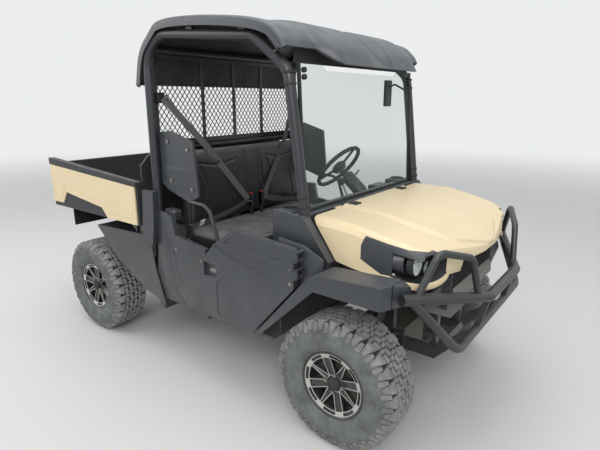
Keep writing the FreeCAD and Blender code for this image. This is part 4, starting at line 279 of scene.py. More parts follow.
def build_materials(colours):
    """Make every finish once; returns them by name."""
    return {
        # Injection-moulded ABS, coloured through: an even satin shine and light dust on top.
        "tan": dusted("tan_moulded_abs", colours.tan, "#B9AB92", 0.44, 0.0016, 0.08, 0.10, 0.05,
                      coat=0.06, variation=0.03),
        # Textured polypropylene: a coarse leather grain that scatters light, dust in the grain.
        "charcoal": dusted("charcoal_textured_pp", colours.charcoal, "#8E8F90", 0.42, 0.0022,
                           0.30, 0.25, 0.30, coat=0.12),
        # Thermoformed roof sheet: the same plastic, smoother and more weathered.
        "roof": dusted("charcoal_roof_moulding", colours.charcoal, "#8C9196", 0.42, 0.0030,
                       0.12, 0.35, coat=0.12),
        # Powder-coated tube: satin, faint orange peel.
        "steel": dusted("black_powder_coat", colours.black_steel, "#7F7A72", 0.40, 0.0020, 0.10,
                        0.18, 0.35, coat=0.1),
        # Sprayed bed liner: coarse, matt, with soil lying on its floor.
        "bed": dusted("black_bed_coating", linear("#2A2B2D"), "#85807A", 0.6, 0.0040, 0.30,
                      0.45, 0.1),
        # Sand-cast aluminium: dull grey, rough, oily dust.
        "casting": dusted("raw_aluminium_casting", linear("#6E6C68"), "#7A7062", 0.6, 0.0025,
                          0.35, 0.35, 0.5, metallic=0.6),
        # Zinc-plated steel gone dull: bolt heads, levers and plates.
        "plain_steel": dusted("weathered_steel", linear("#8A8884"), "#7A7062", 0.5, 0.002, 0.2,
                              0.25, 0.3, metallic=0.8),
        "machined": machined_alloy(),
        # Sprayed enamel on the rims: glossy black with road dust.
        "rim_black": dusted("black_wheel_enamel", linear("#1B1C1E"), "#7C776E", 0.32, 0.002,
                            0.08, 0.10, 0.12, coat=0.3),
        # Moulded rubber: plain on the sidewalls, paler with soil on the blocks, and painted darker
        # between them as painted shade.
        "sidewall": moulded_rubber("tyre_sidewall", "#3B3C3E", "#777A7B", 0.75),
        "tread": moulded_rubber("tyre_tread", "#565758", "#9B9A97", 0.8),
        "painted_groove_shade": moulded_rubber("tyre_painted_groove_shade", "#1B1B1C", "#4A4948", 0.35),
        # Grained seat vinyl and the grey belts woven from polyester.
        "vinyl": seat_vinyl("black_grained_vinyl", colours.vinyl, 0.85),
        "webbing": woven_webbing("grey_belt_webbing", "#625F5C"),
        # Clear polycarbonate: a sheet for the screen, thinner and glossier for the lamps.
        "glass": clear_sheet("clear_polycarbonate", "#F4F7F6", 0.05, 0.07),
        "lens": clear_sheet("lamp_lens", "#F4F6F6", 0.03, 0.08),
        # Moulded red acrylic: deep colour under a hard gloss.
        "red_lens": dusted("red_acrylic_lens", linear("#9E1B12"), "#7F7A72", 0.15, 0.004, 0.05,
                           0.05, 0.2, coat=0.6),
        # Extruded rubber: matt black that shows no edge light.
        "soft_black": dusted("black_rubber_seal", linear("#1F2022"), "#6E6A64", 0.7, 0.002, 0.2,
                             0.2, 0.1),
        # Red moulded button of the buckles: satin.
        "red_button": dusted("red_buckle_button", linear("#B3261C"), "#7F7A72", 0.35, 0.002,
                             0.05, 0.05),
        # Aluminised plastic behind the lenses: near-white with little metal, a painted reflection that
        # keeps it bright, slightly soft.
        "reflector_painted_reflection": dusted("aluminised_reflector_painted_reflection", linear("#F1F1EF"), "#C9C9C6", 0.28, 0.002,
                            0.05, 0.0, metallic=0.15, coat=0.5, variation=0.04),
        # Printed fabric tag, bare here: matt white.
        "white_tag": dusted("white_fabric_tag", linear("#DDDCD8"), "#A09C95", 0.85, 0.001, 0.1,
                            0.1),
        # Painted shade: unlit steel inside a tube or a seam, near-black as nearly no light comes back;
        # the instrument's dial takes it too.
        "black_and_painted_shade": dusted("near_black_and_painted_shade", linear("#08090A"), "#2A2928", 0.9, 0.002, 0.0, 0.0),
    }


FINISH = {}


def deselect():
    """Select nothing, in object mode."""
    if bpy.context.object and bpy.context.object.mode != "OBJECT":
        bpy.ops.object.mode_set(mode="OBJECT")
    bpy.ops.object.select_all(action="DESELECT")


def choose(obj):
    """Select one object alone and make it the active one."""
    deselect()
    obj.select_set(True)
    bpy.context.view_layer.objects.active = obj


def settle(obj):
    """Move an object's place into its mesh."""
    choose(obj)
    bpy.ops.object.transform_apply(location=True, rotation=True, scale=True)
    return obj


def join(pieces, name):
    """Join several objects into one named piece."""
    choose(pieces[0])
    for item in pieces:
        item.select_set(True)
    bpy.ops.object.join()
    obj = bpy.context.view_layer.objects.active
    obj.name = name
    obj.data.name = name
    return obj


def apply(obj, kind, **settings):
    """Add a modifier, set it and apply it."""
    choose(obj)
    modifier = obj.modifiers.new(kind.lower(), kind)
    for key, value in settings.items():
        setattr(modifier, key, value)
    bpy.ops.object.modifier_apply(modifier=modifier.name)
    return obj


def edit(obj, select="DESELECT", mode="FACE"):
    """Enter edit mode on one object with nothing or all of it selected."""
    choose(obj)
    bpy.ops.object.mode_set(mode="EDIT")
    bpy.ops.mesh.select_mode(type=mode)
    bpy.ops.mesh.select_all(action=select)


def leave():
    """Go back to object mode."""
    bpy.ops.object.mode_set(mode="OBJECT")


def pick_faces(obj, test):
    """Select the faces that pass a test of their centre and normal."""
    leave()
    for face in obj.data.polygons:
        face.select = bool(test(face.center, face.normal))
    bpy.ops.object.mode_set(mode="EDIT")


def push(distance):
    """Extrude the selected faces along the wheel's axis."""
    bpy.ops.mesh.extrude_region_move(TRANSFORM_OT_translate={"value": (0, distance, 0)})


def outward(obj):
    """Merge doubles and point the faces outwards."""
    edit(obj, "SELECT")
    bpy.ops.mesh.remove_doubles(threshold=0.00005)
    bpy.ops.mesh.normals_make_consistent(inside=False)
    leave()
    return obj


def smooth(obj, degrees=35):
    """Shade a piece smooth, apart from edges sharper than an angle."""
    choose(obj)
    bpy.ops.object.shade_smooth_by_angle(angle=math.radians(degrees))
    return obj


def paint(obj, *materials):
    """Give an object its material slots."""
    obj.data.materials.clear()
    for material in materials:
        obj.data.materials.append(FINISH[material])
    return obj


def block(corners_low, corners_high):
    """A six-sided block from four low and four high corners, both in the same order."""
    deselect()
    bpy.ops.mesh.primitive_cube_add(size=2)
    obj = bpy.context.object
    order = {(-1, -1): 0, (1, -1): 1, (1, 1): 2, (-1, 1): 3}
    for vertex in obj.data.vertices:
        corner = order[(round(vertex.co.x), round(vertex.co.y))]
        source = corners_high if vertex.co.z > 0 else corners_low
        vertex.co = Vector(source[corner])
    return obj


def slab(low, high, bevel=0.0, segments=2):
    """A box between two corners with softened edges."""
    middle = [(a + b) / 2 for a, b in zip(low, high)]
    deselect()
    bpy.ops.mesh.primitive_cube_add(size=1, location=middle)
    obj = bpy.context.object
    obj.scale = [b - a for a, b in zip(low, high)]
    settle(obj)
    if bevel:
        apply(obj, "BEVEL", width=bevel, segments=segments)
    return obj


def from_points(name, places, edges, faces):
    """A new object of given places, edges and faces."""
    mesh = bpy.data.meshes.new(name)
    mesh.from_pydata(places, edges, faces)
    obj = bpy.data.objects.new(name, mesh)
    bpy.context.scene.collection.objects.link(obj)
    return obj


def spun(section, steps, name):
    """Turn a closed outline of (radius, along) round the Y axis."""
    count = len(section)
    places = [(radius, along, 0) for radius, along in section]
    obj = from_points(name, places, [(i, (i + 1) % count) for i in range(count)], [])
    edit(obj, "SELECT", "VERT")
    bpy.ops.mesh.spin(steps=steps, angle=2 * math.pi, center=(0, 0, 0), axis=(0, 1, 0))
    leave()
    return outward(obj)


def turned_copy(obj, matrix):
    """A copy of an object with its own mesh, moved by a matrix."""
    copy = obj.copy()
    copy.data = obj.data.copy()
    bpy.context.scene.collection.objects.link(copy)
    copy.data.transform(matrix)
    return copy


def hand_over(obj, name, body, slot, *nodes):
    """Name a finished piece, let it ride on its body and stand for its frame nodes."""
    obj.name = name
    obj.data.name = name
    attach(obj, body)
    if nodes:
        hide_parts(*nodes)
    return obj


def tube(points, radius, sides=12, bend=0.0):
    """A round bar along points; corners are rounded when bend is given."""
    curve = bpy.data.curves.new("bar", "CURVE")
    curve.dimensions = "3D"
    curve.bevel_depth = radius
    curve.bevel_resolution = max(0, sides // 4 - 1)
    curve.use_fill_caps = True
    line = curve.splines.new("POLY")
    route = [Vector(point) for point in points]
    if bend:
        route = rounded(route, bend)
    line.points.add(len(route) - 1)
    for spot, place in zip(line.points, route):
        spot.co = (*place, 1)
    obj = bpy.data.objects.new("bar", curve)
    bpy.context.scene.collection.objects.link(obj)
    choose(obj)
    bpy.ops.object.convert(target="MESH")
    return smooth(outward(bpy.context.object), 50)


def rounded(points, bend):
    """A route with each corner turned into a short arc."""
    steps = 5
    route = [points[0]]
    for before, corner, after in zip(points, points[1:], points[2:]):
        first, second = before - corner, after - corner
        reach = min(bend, first.length * 0.45, second.length * 0.45)
        start, end = corner + first.normalized() * reach, corner + second.normalized() * reach
        for step in range(steps + 1):
            share = step / steps
            left = 1 - share
            route.append(start * left ** 2 + corner * 2 * share * left + end * share ** 2)
    return route + [points[-1]]


def disc(centre, axis, radius, depth, sides=24, bevel=0.0):
    """A cylinder with its middle at a place and its axis along a direction."""
    turn = Vector(axis).to_track_quat("Z", "Y").to_euler()
    deselect()
    bpy.ops.mesh.primitive_cylinder_add(vertices=sides, radius=radius, depth=depth,
                                        location=centre, rotation=turn)
    obj = settle(bpy.context.object)
    if bevel:
        apply(obj, "BEVEL", width=bevel, segments=2, limit_method="ANGLE")
    return smooth(obj, 40)


def sheet_between(place, across, along, thick):
    """A grid bent by a function of (u, v) from 0 to 1, with a thickness."""
    deselect()
    bpy.ops.mesh.primitive_grid_add(x_subdivisions=across, y_subdivisions=along, size=1)
    obj = bpy.context.object
    for vertex in obj.data.vertices:
        vertex.co = Vector(place(vertex.co.x + 0.5, vertex.co.y + 0.5))
    edit(obj, "SELECT")
    bpy.ops.mesh.normals_make_consistent(inside=False)
    leave()
    if thick:
        apply(obj, "SOLIDIFY", thickness=thick, offset=0)
    return smooth(obj, 50)


def mirrored(obj):
    """Turn a piece into its mirror image across the vehicle's centre plane."""
    obj.data.transform(FLIP)
    obj.data.flip_normals()
    return obj


def both_sides(obj):
    """The piece joined with its mirror image across the vehicle's centre plane."""
    return join([obj, mirrored(turned_copy(obj, Matrix.Identity(4)))], obj.name)


def prism(points, near, far, bevel):
    """A plate cut to (x, z) points, between two places across the vehicle."""
    count = len(points)
    places = [(x, y, z) for y in (near, far) for x, z in points]
    sides = [(i, (i + 1) % count, (i + 1) % count + count, i + count) for i in range(count)]
    ends = [tuple(range(count)), tuple(range(count, 2 * count))]
    obj = outward(from_points("plate", places, [], sides + ends))
    return smooth(apply(obj, "BEVEL", width=bevel, segments=2, limit_method="ANGLE"), 40)


def top_of(node, x, y):
    """Height of a frame node's highest surface at a place."""
    mesh = frame["nodes"][node].data
    places = [vertex.co for vertex in mesh.vertices]
    tree = BVHTree.FromPolygons(places, [face.vertices[:] for face in mesh.polygons])
    above_all = 4.0
    place = tree.ray_cast(Vector((x, y, above_all)), Vector((0, 0, -1)))[0]
    if place is None:
        raise RuntimeError("nothing of %s at %s, %s" % (node, x, y))
    return place.z


SLOT_OF = {row["node"]: row["material_slot"] for row in frame["record"]["subparts"]}


def dressed(node, finish, width, sharp=28.0):
    """A copy of a frame node with its edges over sharp degrees rounded, shown in its place."""
    flat = math.radians(1)
    source = frame["nodes"][node]
    obj = source.copy()
    obj.data = source.data.copy()
    body = obj["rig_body"]
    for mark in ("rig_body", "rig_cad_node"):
        del obj[mark]
    obj.parent = None
    obj.matrix_world = Matrix.Identity(4)
    bpy.context.scene.collection.objects.link(obj)
    edit(obj, "SELECT")
    bpy.ops.mesh.customdata_custom_splitnormals_clear()
    bpy.ops.mesh.remove_doubles(threshold=0.00002)
    bpy.ops.mesh.dissolve_limited(angle_limit=flat)
    leave()
    apply(obj, "BEVEL", width=width, segments=2, limit_method="ANGLE",
          angle_limit=math.radians(sharp), use_clamp_overlap=True)
    paint(obj, finish)
    smooth(obj, 40)
    apply(obj, "WEIGHTED_NORMAL", keep_sharp=True, weight=50)
    return hand_over(obj, node + "_finished", body, SLOT_OF[node], node)


def wheel_matrix(name):
    """Places a wheel made at the origin with its outer face towards +Y."""
    low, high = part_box("tyre_" + name)
    centre = (low + high) / 2
    turn = Matrix.Rotation(math.pi if centre.y < 0 else 0, 4, "Z")
    return Matrix.Translation(centre) @ turn


TYRE_RADIUS = 0.330


def tread_place(arc, along, radius):
    """The place at a length round the tyre, a place along its axle and a radius."""
    angle = arc / TYRE_RADIUS
    return (radius * math.sin(angle), along, radius * math.cos(angle))


def tread_block(corners, low, high):
    """A tread block from four (arc, along) corners; its top is smaller than its foot."""
    taper = 0.93
    middle = [sum(c[i] for c in corners) / 4 for i in (0, 1)]
    top = [tuple(m + (c - m) * taper for c, m in zip(corner, middle)) for corner in corners]
    obj = block([tread_place(*corner, low) for corner in corners],
                [tread_place(*corner, high) for corner in top])
    return apply(obj, "BEVEL", width=0.0012, segments=1, limit_method="NONE")


# The blocks of one pitch: four corners as (share of a pitch, place along the axle), and how
# far the block's top stays below the tyre's radius. First the shoulder lug, then two blocks of
# the outer row and two of the inner one.
TREAD_BLOCKS = (
    (((-0.430, 0.068), (0.430, 0.068), (0.2924, 0.099), (-0.2924, 0.099)), 0.002),
    (((-0.440, 0.0345), (0.170, 0.0445), (0.100, 0.0655), (-0.510, 0.0555)), 0.0005),
    (((0.235, 0.0335), (0.490, 0.0375), (0.430, 0.0640), (0.165, 0.0600)), 0.0005),
    (((-0.140, 0.002), (0.440, 0.0125), (0.370, 0.0325), (-0.220, 0.0225)), 0.0),
    (((-0.490, 0.0045), (-0.200, 0.002), (-0.285, 0.0275), (-0.565, 0.0255)), 0.0),
)


class UTV_OT_tyres(bpy.types.Operator):
    """All-terrain tyres with shoulder lugs and zigzag centre blocks"""

    bl_idname = "utv.tyres"
    bl_label = "Tyres"

    def execute(self, context):
        sizes = context.scene.utv_sizes
        count = sizes.tread_pitches
        pitch = 2 * math.pi * TYRE_RADIUS / count
        crown = TYRE_RADIUS - sizes.tread_depth
        root = crown - 0.004
        pieces = []
        for corners, short in TREAD_BLOCKS:
            places = [(share * pitch, along) for share, along in corners]
            pieces.append(tread_block(places, root, TYRE_RADIUS - short))
        # The lug's shoulder face, and the lower arm that bites into the sidewall.
        lug, arm = 0.344 * pitch, 0.1462 * pitch
        pieces.append(self.shoulder(0, lug, (0.326, 0.097), (0.289, 0.1195), 0.62))
        pieces.append(self.shoulder(pitch / 2, arm, (0.318, 0.101), (0.277, 0.1212), -0.35))
        one = join(pieces, "pitch")
        copies = []
        for number in range(count):
            turn = 2 * math.pi * number / count
            copies.append(turned_copy(one, Matrix.Rotation(turn, 4, "Y")))
            back = Matrix.Rotation(turn + math.pi / count, 4, "Y")
            copies.append(turned_copy(one, back @ Matrix.Rotation(math.pi, 4, "Z")))
        bpy.data.objects.remove(one)
        tyre = join([self.casing(crown), paint(join(copies, "tread"), "tread")], "tyre")
        for name in WHEELS:
            made = turned_copy(tyre, wheel_matrix(name))
            hand_over(made, "tyre_dressed_" + name, "wheel_" + name, "tyre_rubber", "tyre_" + name)
        bpy.data.objects.remove(tyre)
        return {"FINISHED"}

    def casing(self, crown):
        """The carcass below the blocks, painted darker between them as painted shade."""
        half = [(0.152, 0.090), (0.160, 0.096), (0.1725, 0.0965), (0.1735, 0.104),
                (0.182, 0.1085), (0.190, 0.113), (0.215, 0.1205), (0.241, 0.1222),
                (0.262, 0.1205), (0.281, 0.117), (0.296, 0.111), (0.307, 0.103), (0.314, 0.090),
                (crown, 0.070), (crown + 0.001, 0.0)]
        casing = spun(half + [(r, -a) for r, a in reversed(half[:-1])], 120, "carcass")
        paint(casing, "sidewall", "painted_groove_shade")
        tread_foot = 0.303
        # The tread zone's faces take the darker finish: painted shade between the blocks.
        for face in casing.data.polygons:
            if math.hypot(face.center.x, face.center.z) > tread_foot:
                face.material_index = 1
        return smooth(casing, 50)

    def shoulder(self, middle, half, top, foot, narrow):
        """A lug on the shoulder between a top and a foot (radius, along) place."""
        thick = 0.010
        foot_half = half * (1 - narrow)
        low, high = [], []
        for way in (-1, 1):
            low.append(tread_place(middle + way * foot_half, foot[1] - thick, foot[0]))
            high.append(tread_place(middle + way * foot_half * 0.8, foot[1] + 0.001, foot[0]))
        for way in (1, -1):
            low.append(tread_place(middle + way * half, top[1] - thick, top[0] - thick))
            high.append(tread_place(middle + way * half * 0.86, top[1], top[0]))
        obj = outward(block(low, high))
        edit(obj)
        pick_faces(obj, lambda centre, normal: normal.y > 0.4 and centre.y > top[1] - 0.004)
        bpy.ops.mesh.inset(thickness=0.0042)
        push(-0.0030)
        bpy.ops.mesh.inset(thickness=0.0024)
        push(0.0026)
        leave()
        return obj


def spoke(width_inner, width_outer):
    """A spoke along +X from hub to ring, its face hollowed inside a machined edge."""
    inner, outer, hollow = 0.040, 0.141, 0.006
    high_in, high_out, deep = 0.078, 0.094, 0.026
    plan = ((inner, high_in, -width_inner / 2), (outer, high_out, -width_outer / 2),
            (outer, high_out, width_outer / 2), (inner, high_in, width_inner / 2))
    obj = block([(x, y - deep, z) for x, y, z in plan], plan)
    outward(paint(obj, "rim_black", "machined"))
    edit(obj)
    pick_faces(obj, lambda centre, normal: normal.y > 0.8)
    bpy.ops.mesh.inset(thickness=0.0036)
    leave()
    for face in obj.data.polygons:
        if face.normal.y > 0.8 and not face.select:
            face.material_index = 1
    bpy.ops.object.mode_set(mode="EDIT")
    push(-hollow)
    leave()
    return obj


class UTV_OT_rims(bpy.types.Operator):
    """Alloy rims with eight machined-edge spokes"""

    bl_idname = "utv.rims"
    bl_label = "Rims"

    def execute(self, context):
        sectors = 8
        barrel = spun([(0.1725, 0.1035), (0.1705, 0.0965), (0.1512, 0.0955), (0.1512, -0.0955),
                       (0.1705, -0.0965), (0.1725, -0.1035), (0.166, -0.1040), (0.146, -0.098),
                       (0.1445, -0.070), (0.1445, 0.060), (0.1450, 0.084), (0.1580, 0.0985),
                       (0.166, 0.1040)], 96, "barrel")
        pieces = [paint(barrel, "rim_black"), self.ring(sectors)]
        wide, narrow = spoke(0.040, 0.047), spoke(0.036, 0.013)
        for number in range(sectors):
            turn = Matrix.Rotation(2 * math.pi * number / sectors, 4, "Y")
            pieces.append(turned_copy(narrow if number % 2 else wide, turn))
        bpy.data.objects.remove(wide)
        bpy.data.objects.remove(narrow)
        rim = smooth(join(pieces + self.middle(), "rim"), 30)
        for number, name in enumerate(WHEELS):
            # Each wheel has stopped at a turn of its own.
            turn = Matrix.Rotation(math.radians(17 + 31 * number), 4, "Y")
            made = turned_copy(rim, wheel_matrix(name) @ turn)
            hand_over(made, "rim_dressed_" + name, "wheel_" + name, "rim_alloy", "rim_" + name)
        bpy.data.objects.remove(rim)
        return {"FINISHED"}

    def ring(self, sectors):
        """The face ring that the spokes run into, with a pocket between two spokes."""
        ring = spun([(0.1590, 0.0995), (0.1590, 0.080), (0.1360, 0.078), (0.1360, 0.0935)], 96,
                    "ring")
        paint(ring, "rim_black", "machined")
        edit(ring)

        def pocket(centre, normal):
            """Whether a face of the ring lies between two spokes."""
            turn = math.degrees(math.atan2(centre.z, centre.x)) % (360 / sectors)
            return normal.y > 0.6 and 9 < turn < 36

        pick_faces(ring, pocket)
        bpy.ops.mesh.inset(thickness=0.0042, use_even_offset=True)
        push(-0.006)
        leave()
        for face in ring.data.polygons:
            if face.normal.y > 0.6 and face.center.y > 0.092 and not face.select:
                face.material_index = 1
        return ring

    def middle(self):
        """Hub, cap, four nuts and the brake drum behind the spokes."""
        hub = spun([(0.052, 0.076), (0.056, 0.066), (0.056, 0.040), (0.0, 0.040), (0.0, 0.078)],
                   48, "hub")
        cap = spun([(0.0, 0.101), (0.022, 0.100), (0.030, 0.097), (0.033, 0.090), (0.034, 0.070),
                    (0.0, 0.070)], 48, "cap")
        pieces = [paint(hub, "rim_black"), paint(cap, "soft_black")]
        circle = 0.046
        for number in range(4):
            turn = math.radians(90 * number + 22)
            deselect()
            bpy.ops.mesh.primitive_cylinder_add(
                vertices=6, radius=0.0095, depth=0.018, rotation=(math.pi / 2, 0, 0),
                location=(circle * math.cos(turn), 0.082, circle * math.sin(turn)))
            nut = apply(settle(bpy.context.object), "BEVEL", width=0.0015, segments=2)
            pieces.append(paint(nut, "plain_steel"))
        drum = spun([(0.118, 0.030), (0.118, -0.012), (0.0, -0.012), (0.0, 0.030)], 48,
                    "brake_drum")
        return pieces + [paint(drum, "casting")]


def near_line(point, line):
    """Distance of a point in a plane from a line of points."""
    spot, best = Vector(point), math.inf
    for start, end in zip(line, line[1:]):
        start, along = Vector(start), Vector(end) - Vector(start)
        share = max(0.0, min(1.0, (spot - start).dot(along) / along.length_squared))
        best = min(best, (spot - start - along * share).length)
    return best


def padded_block(low, high, bevel, name):
    obj = slab(low, high, bevel, 3)
    obj.data.remesh_voxel_size = bpy.context.scene.utv_sizes.cushion_voxel
    choose(obj)
    bpy.ops.object.voxel_remesh()
    pressure, frames, most = 4, 20, 0.016
    rest = [vertex.co.copy() for vertex in obj.data.vertices]
    cloth = obj.modifiers.new("cloth", "CLOTH")
    cloth.settings.use_pressure = True
    cloth.settings.uniform_pressure_force = pressure
    cloth.settings.effector_weights.gravity = 0
    cloth.point_cache.frame_start = 1
    cloth.point_cache.frame_end = frames
    for step in range(1, frames + 1):
        bpy.context.scene.frame_set(step)
    choose(obj)
    bpy.ops.object.modifier_apply(modifier="cloth")
    bpy.context.scene.frame_set(1)
    for vertex, home in zip(obj.data.vertices, rest):
        move = vertex.co - home
        if move.length > most:
            vertex.co = home + move * (most / move.length)
    obj.name = name
    return apply(obj, "SUBSURF", levels=1, render_levels=1)


def sew(obj, lines, across, facing, depth):
    """Press sewn channels into the faces that look one way.

    across names the two axes of the lines' plane, facing the axis and sign of the face.
    """
    axis, sign = facing
    width, turned_away = 0.006, 0.35
    normals = [vertex.normal.copy() for vertex in obj.data.vertices]
    for vertex, normal in zip(obj.data.vertices, normals):
        if normal[axis] * sign < turned_away:
            continue
        spot = (vertex.co[across[0]], vertex.co[across[1]])
        gap = min(near_line(spot, line) for line in lines)
        vertex.co[axis] -= sign * depth * math.exp(-(gap / width) ** 2)


class UTV_OT_seats(bpy.types.Operator):
    """The bench cushion and its back, swollen by cloth pressure and sewn"""

    bl_idname = "utv.seats"
    bl_label = "Seats"

    def execute(self, context):
        depth = context.scene.utv_sizes.seam_depth
        swell = 0.010
        self.cushion(depth, swell)
        self.back(depth, swell)
        return {"FINISHED"}

    def cushion(self, depth, swell):
        """The bench's seat, which stands on the seat base."""
        low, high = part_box("seat_cushion")
        cushion = padded_block((low.x + swell, low.y + swell, low.z + 0.004),
                               (high.x - swell, high.y - swell, high.z - swell), 0.034, "bench")
        front, rear = high.x - 0.11, low.x + 0.13
        lines = [[(high.x - 0.05, -0.55), (high.x - 0.035, 0.0), (high.x - 0.05, 0.55)]]
        for side in (-1, 1):
            near, far = side * 0.075, side * 0.50
            near_front, far_front = near + side * 0.02, far - side * 0.02
            lines.append([(rear, near), (front, near_front)])
            lines.append([(rear, far), (front, far_front)])
            lines.append([(front, near_front), (front + 0.03, (near + far) / 2),
                          (front, far_front)])
        sew(cushion, lines, (0, 1), (2, 1), depth)
        floor = low.z + 0.0006
        for vertex in cushion.data.vertices:
            vertex.co.z = max(vertex.co.z, floor)
        smooth(paint(cushion, "vinyl"), 60)
        hand_over(cushion, "bench_cushion", "chassis", "vinyl", "seat_cushion")

    def back(self, depth, swell):
        """The bench's back, with two sewn panels and a ridge down its middle."""
        low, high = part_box("seat_back")
        back = padded_block((low.x + 0.045, low.y + swell, low.z + swell + 0.012),
                            (high.x - 0.012, high.y - swell, high.z - swell), 0.030, "bench_back")
        top, foot = high.z, low.z
        lines = []
        for side in (-1, 1):
            for line in (((0.055, foot), (0.06, top)),
                         ((0.10, foot + 0.02), (0.14, foot + 0.16), (0.10, foot + 0.30),
                          (0.075, top - 0.02)),
                         ((0.14, top - 0.10), (0.30, top - 0.13), (0.47, top - 0.10)),
                         ((0.14, top - 0.10), (0.20, top - 0.24), (0.17, foot + 0.10)),
                         ((0.47, top - 0.10), (0.41, top - 0.24), (0.45, foot + 0.10)),
                         ((0.53, foot), (0.52, top))):
                lines.append([(side * y, z) for y, z in line])
        sew(back, lines, (1, 2), (0, 1), depth)
        smooth(paint(back, "vinyl"), 60)
        hand_over(back, "bench_back", "chassis", "vinyl", "seat_back")


# Panels whose edges are rounded: node, finish, radius of the rounding in metres.
ROUNDED = (
    ("hood", "tan", 0.004), ("lamp_pods", "charcoal", 0.003), ("bed_panels", "tan", 0.003),
    ("door_right", "charcoal", 0.006), ("door_left", "charcoal", 0.006),
    ("side_panels", "charcoal", 0.003), ("front_fenders", "charcoal", 0.009),
    ("cowl", "charcoal", 0.006), ("dashboard", "charcoal", 0.014),
    ("shoulder_guards", "charcoal", 0.005), ("rear_fenders", "charcoal", 0.004),
    ("floor_tub", "charcoal", 0.006), ("bed_tub", "bed", 0.004),
    ("tailgate", "bed", 0.005), ("belt_hardware", "soft_black", 0.003),
    ("mirror", "soft_black", 0.004), ("engine_block", "casting", 0.012),
    ("tail_lamps", "red_lens", 0.006), ("hitch_receiver", "steel", 0.003),
)


class UTV_OT_panels(bpy.types.Operator):
    """Moulded panels with rounded edges"""

    bl_idname = "utv.panels"
    bl_label = "Panels"

    def execute(self, context):
        for node, finish, width in ROUNDED:
            # The hood's shallow creases are rounded as well.
            dressed(node, finish, width, sharp=13.0 if node == "hood" else 28.0)
        return {"FINISHED"}


def route_point(route, share):
    """A place along a list of points, by equal steps of the list."""
    spot = share * (len(route) - 1)
    number = min(int(spot), len(route) - 2)
    return Vector(route[number]).lerp(Vector(route[number + 1]), spot - number)


def softened(points):
    """A route with its corners cut three times over, its two ends kept."""
    route = [Vector(point) for point in points]
    for _ in range(3):
        cut = [route[0]]
        for here, there in zip(route, route[1:]):
            cut += [here.lerp(there, 0.25), here.lerp(there, 0.75)]
        route = cut + [route[-1]]
    return route


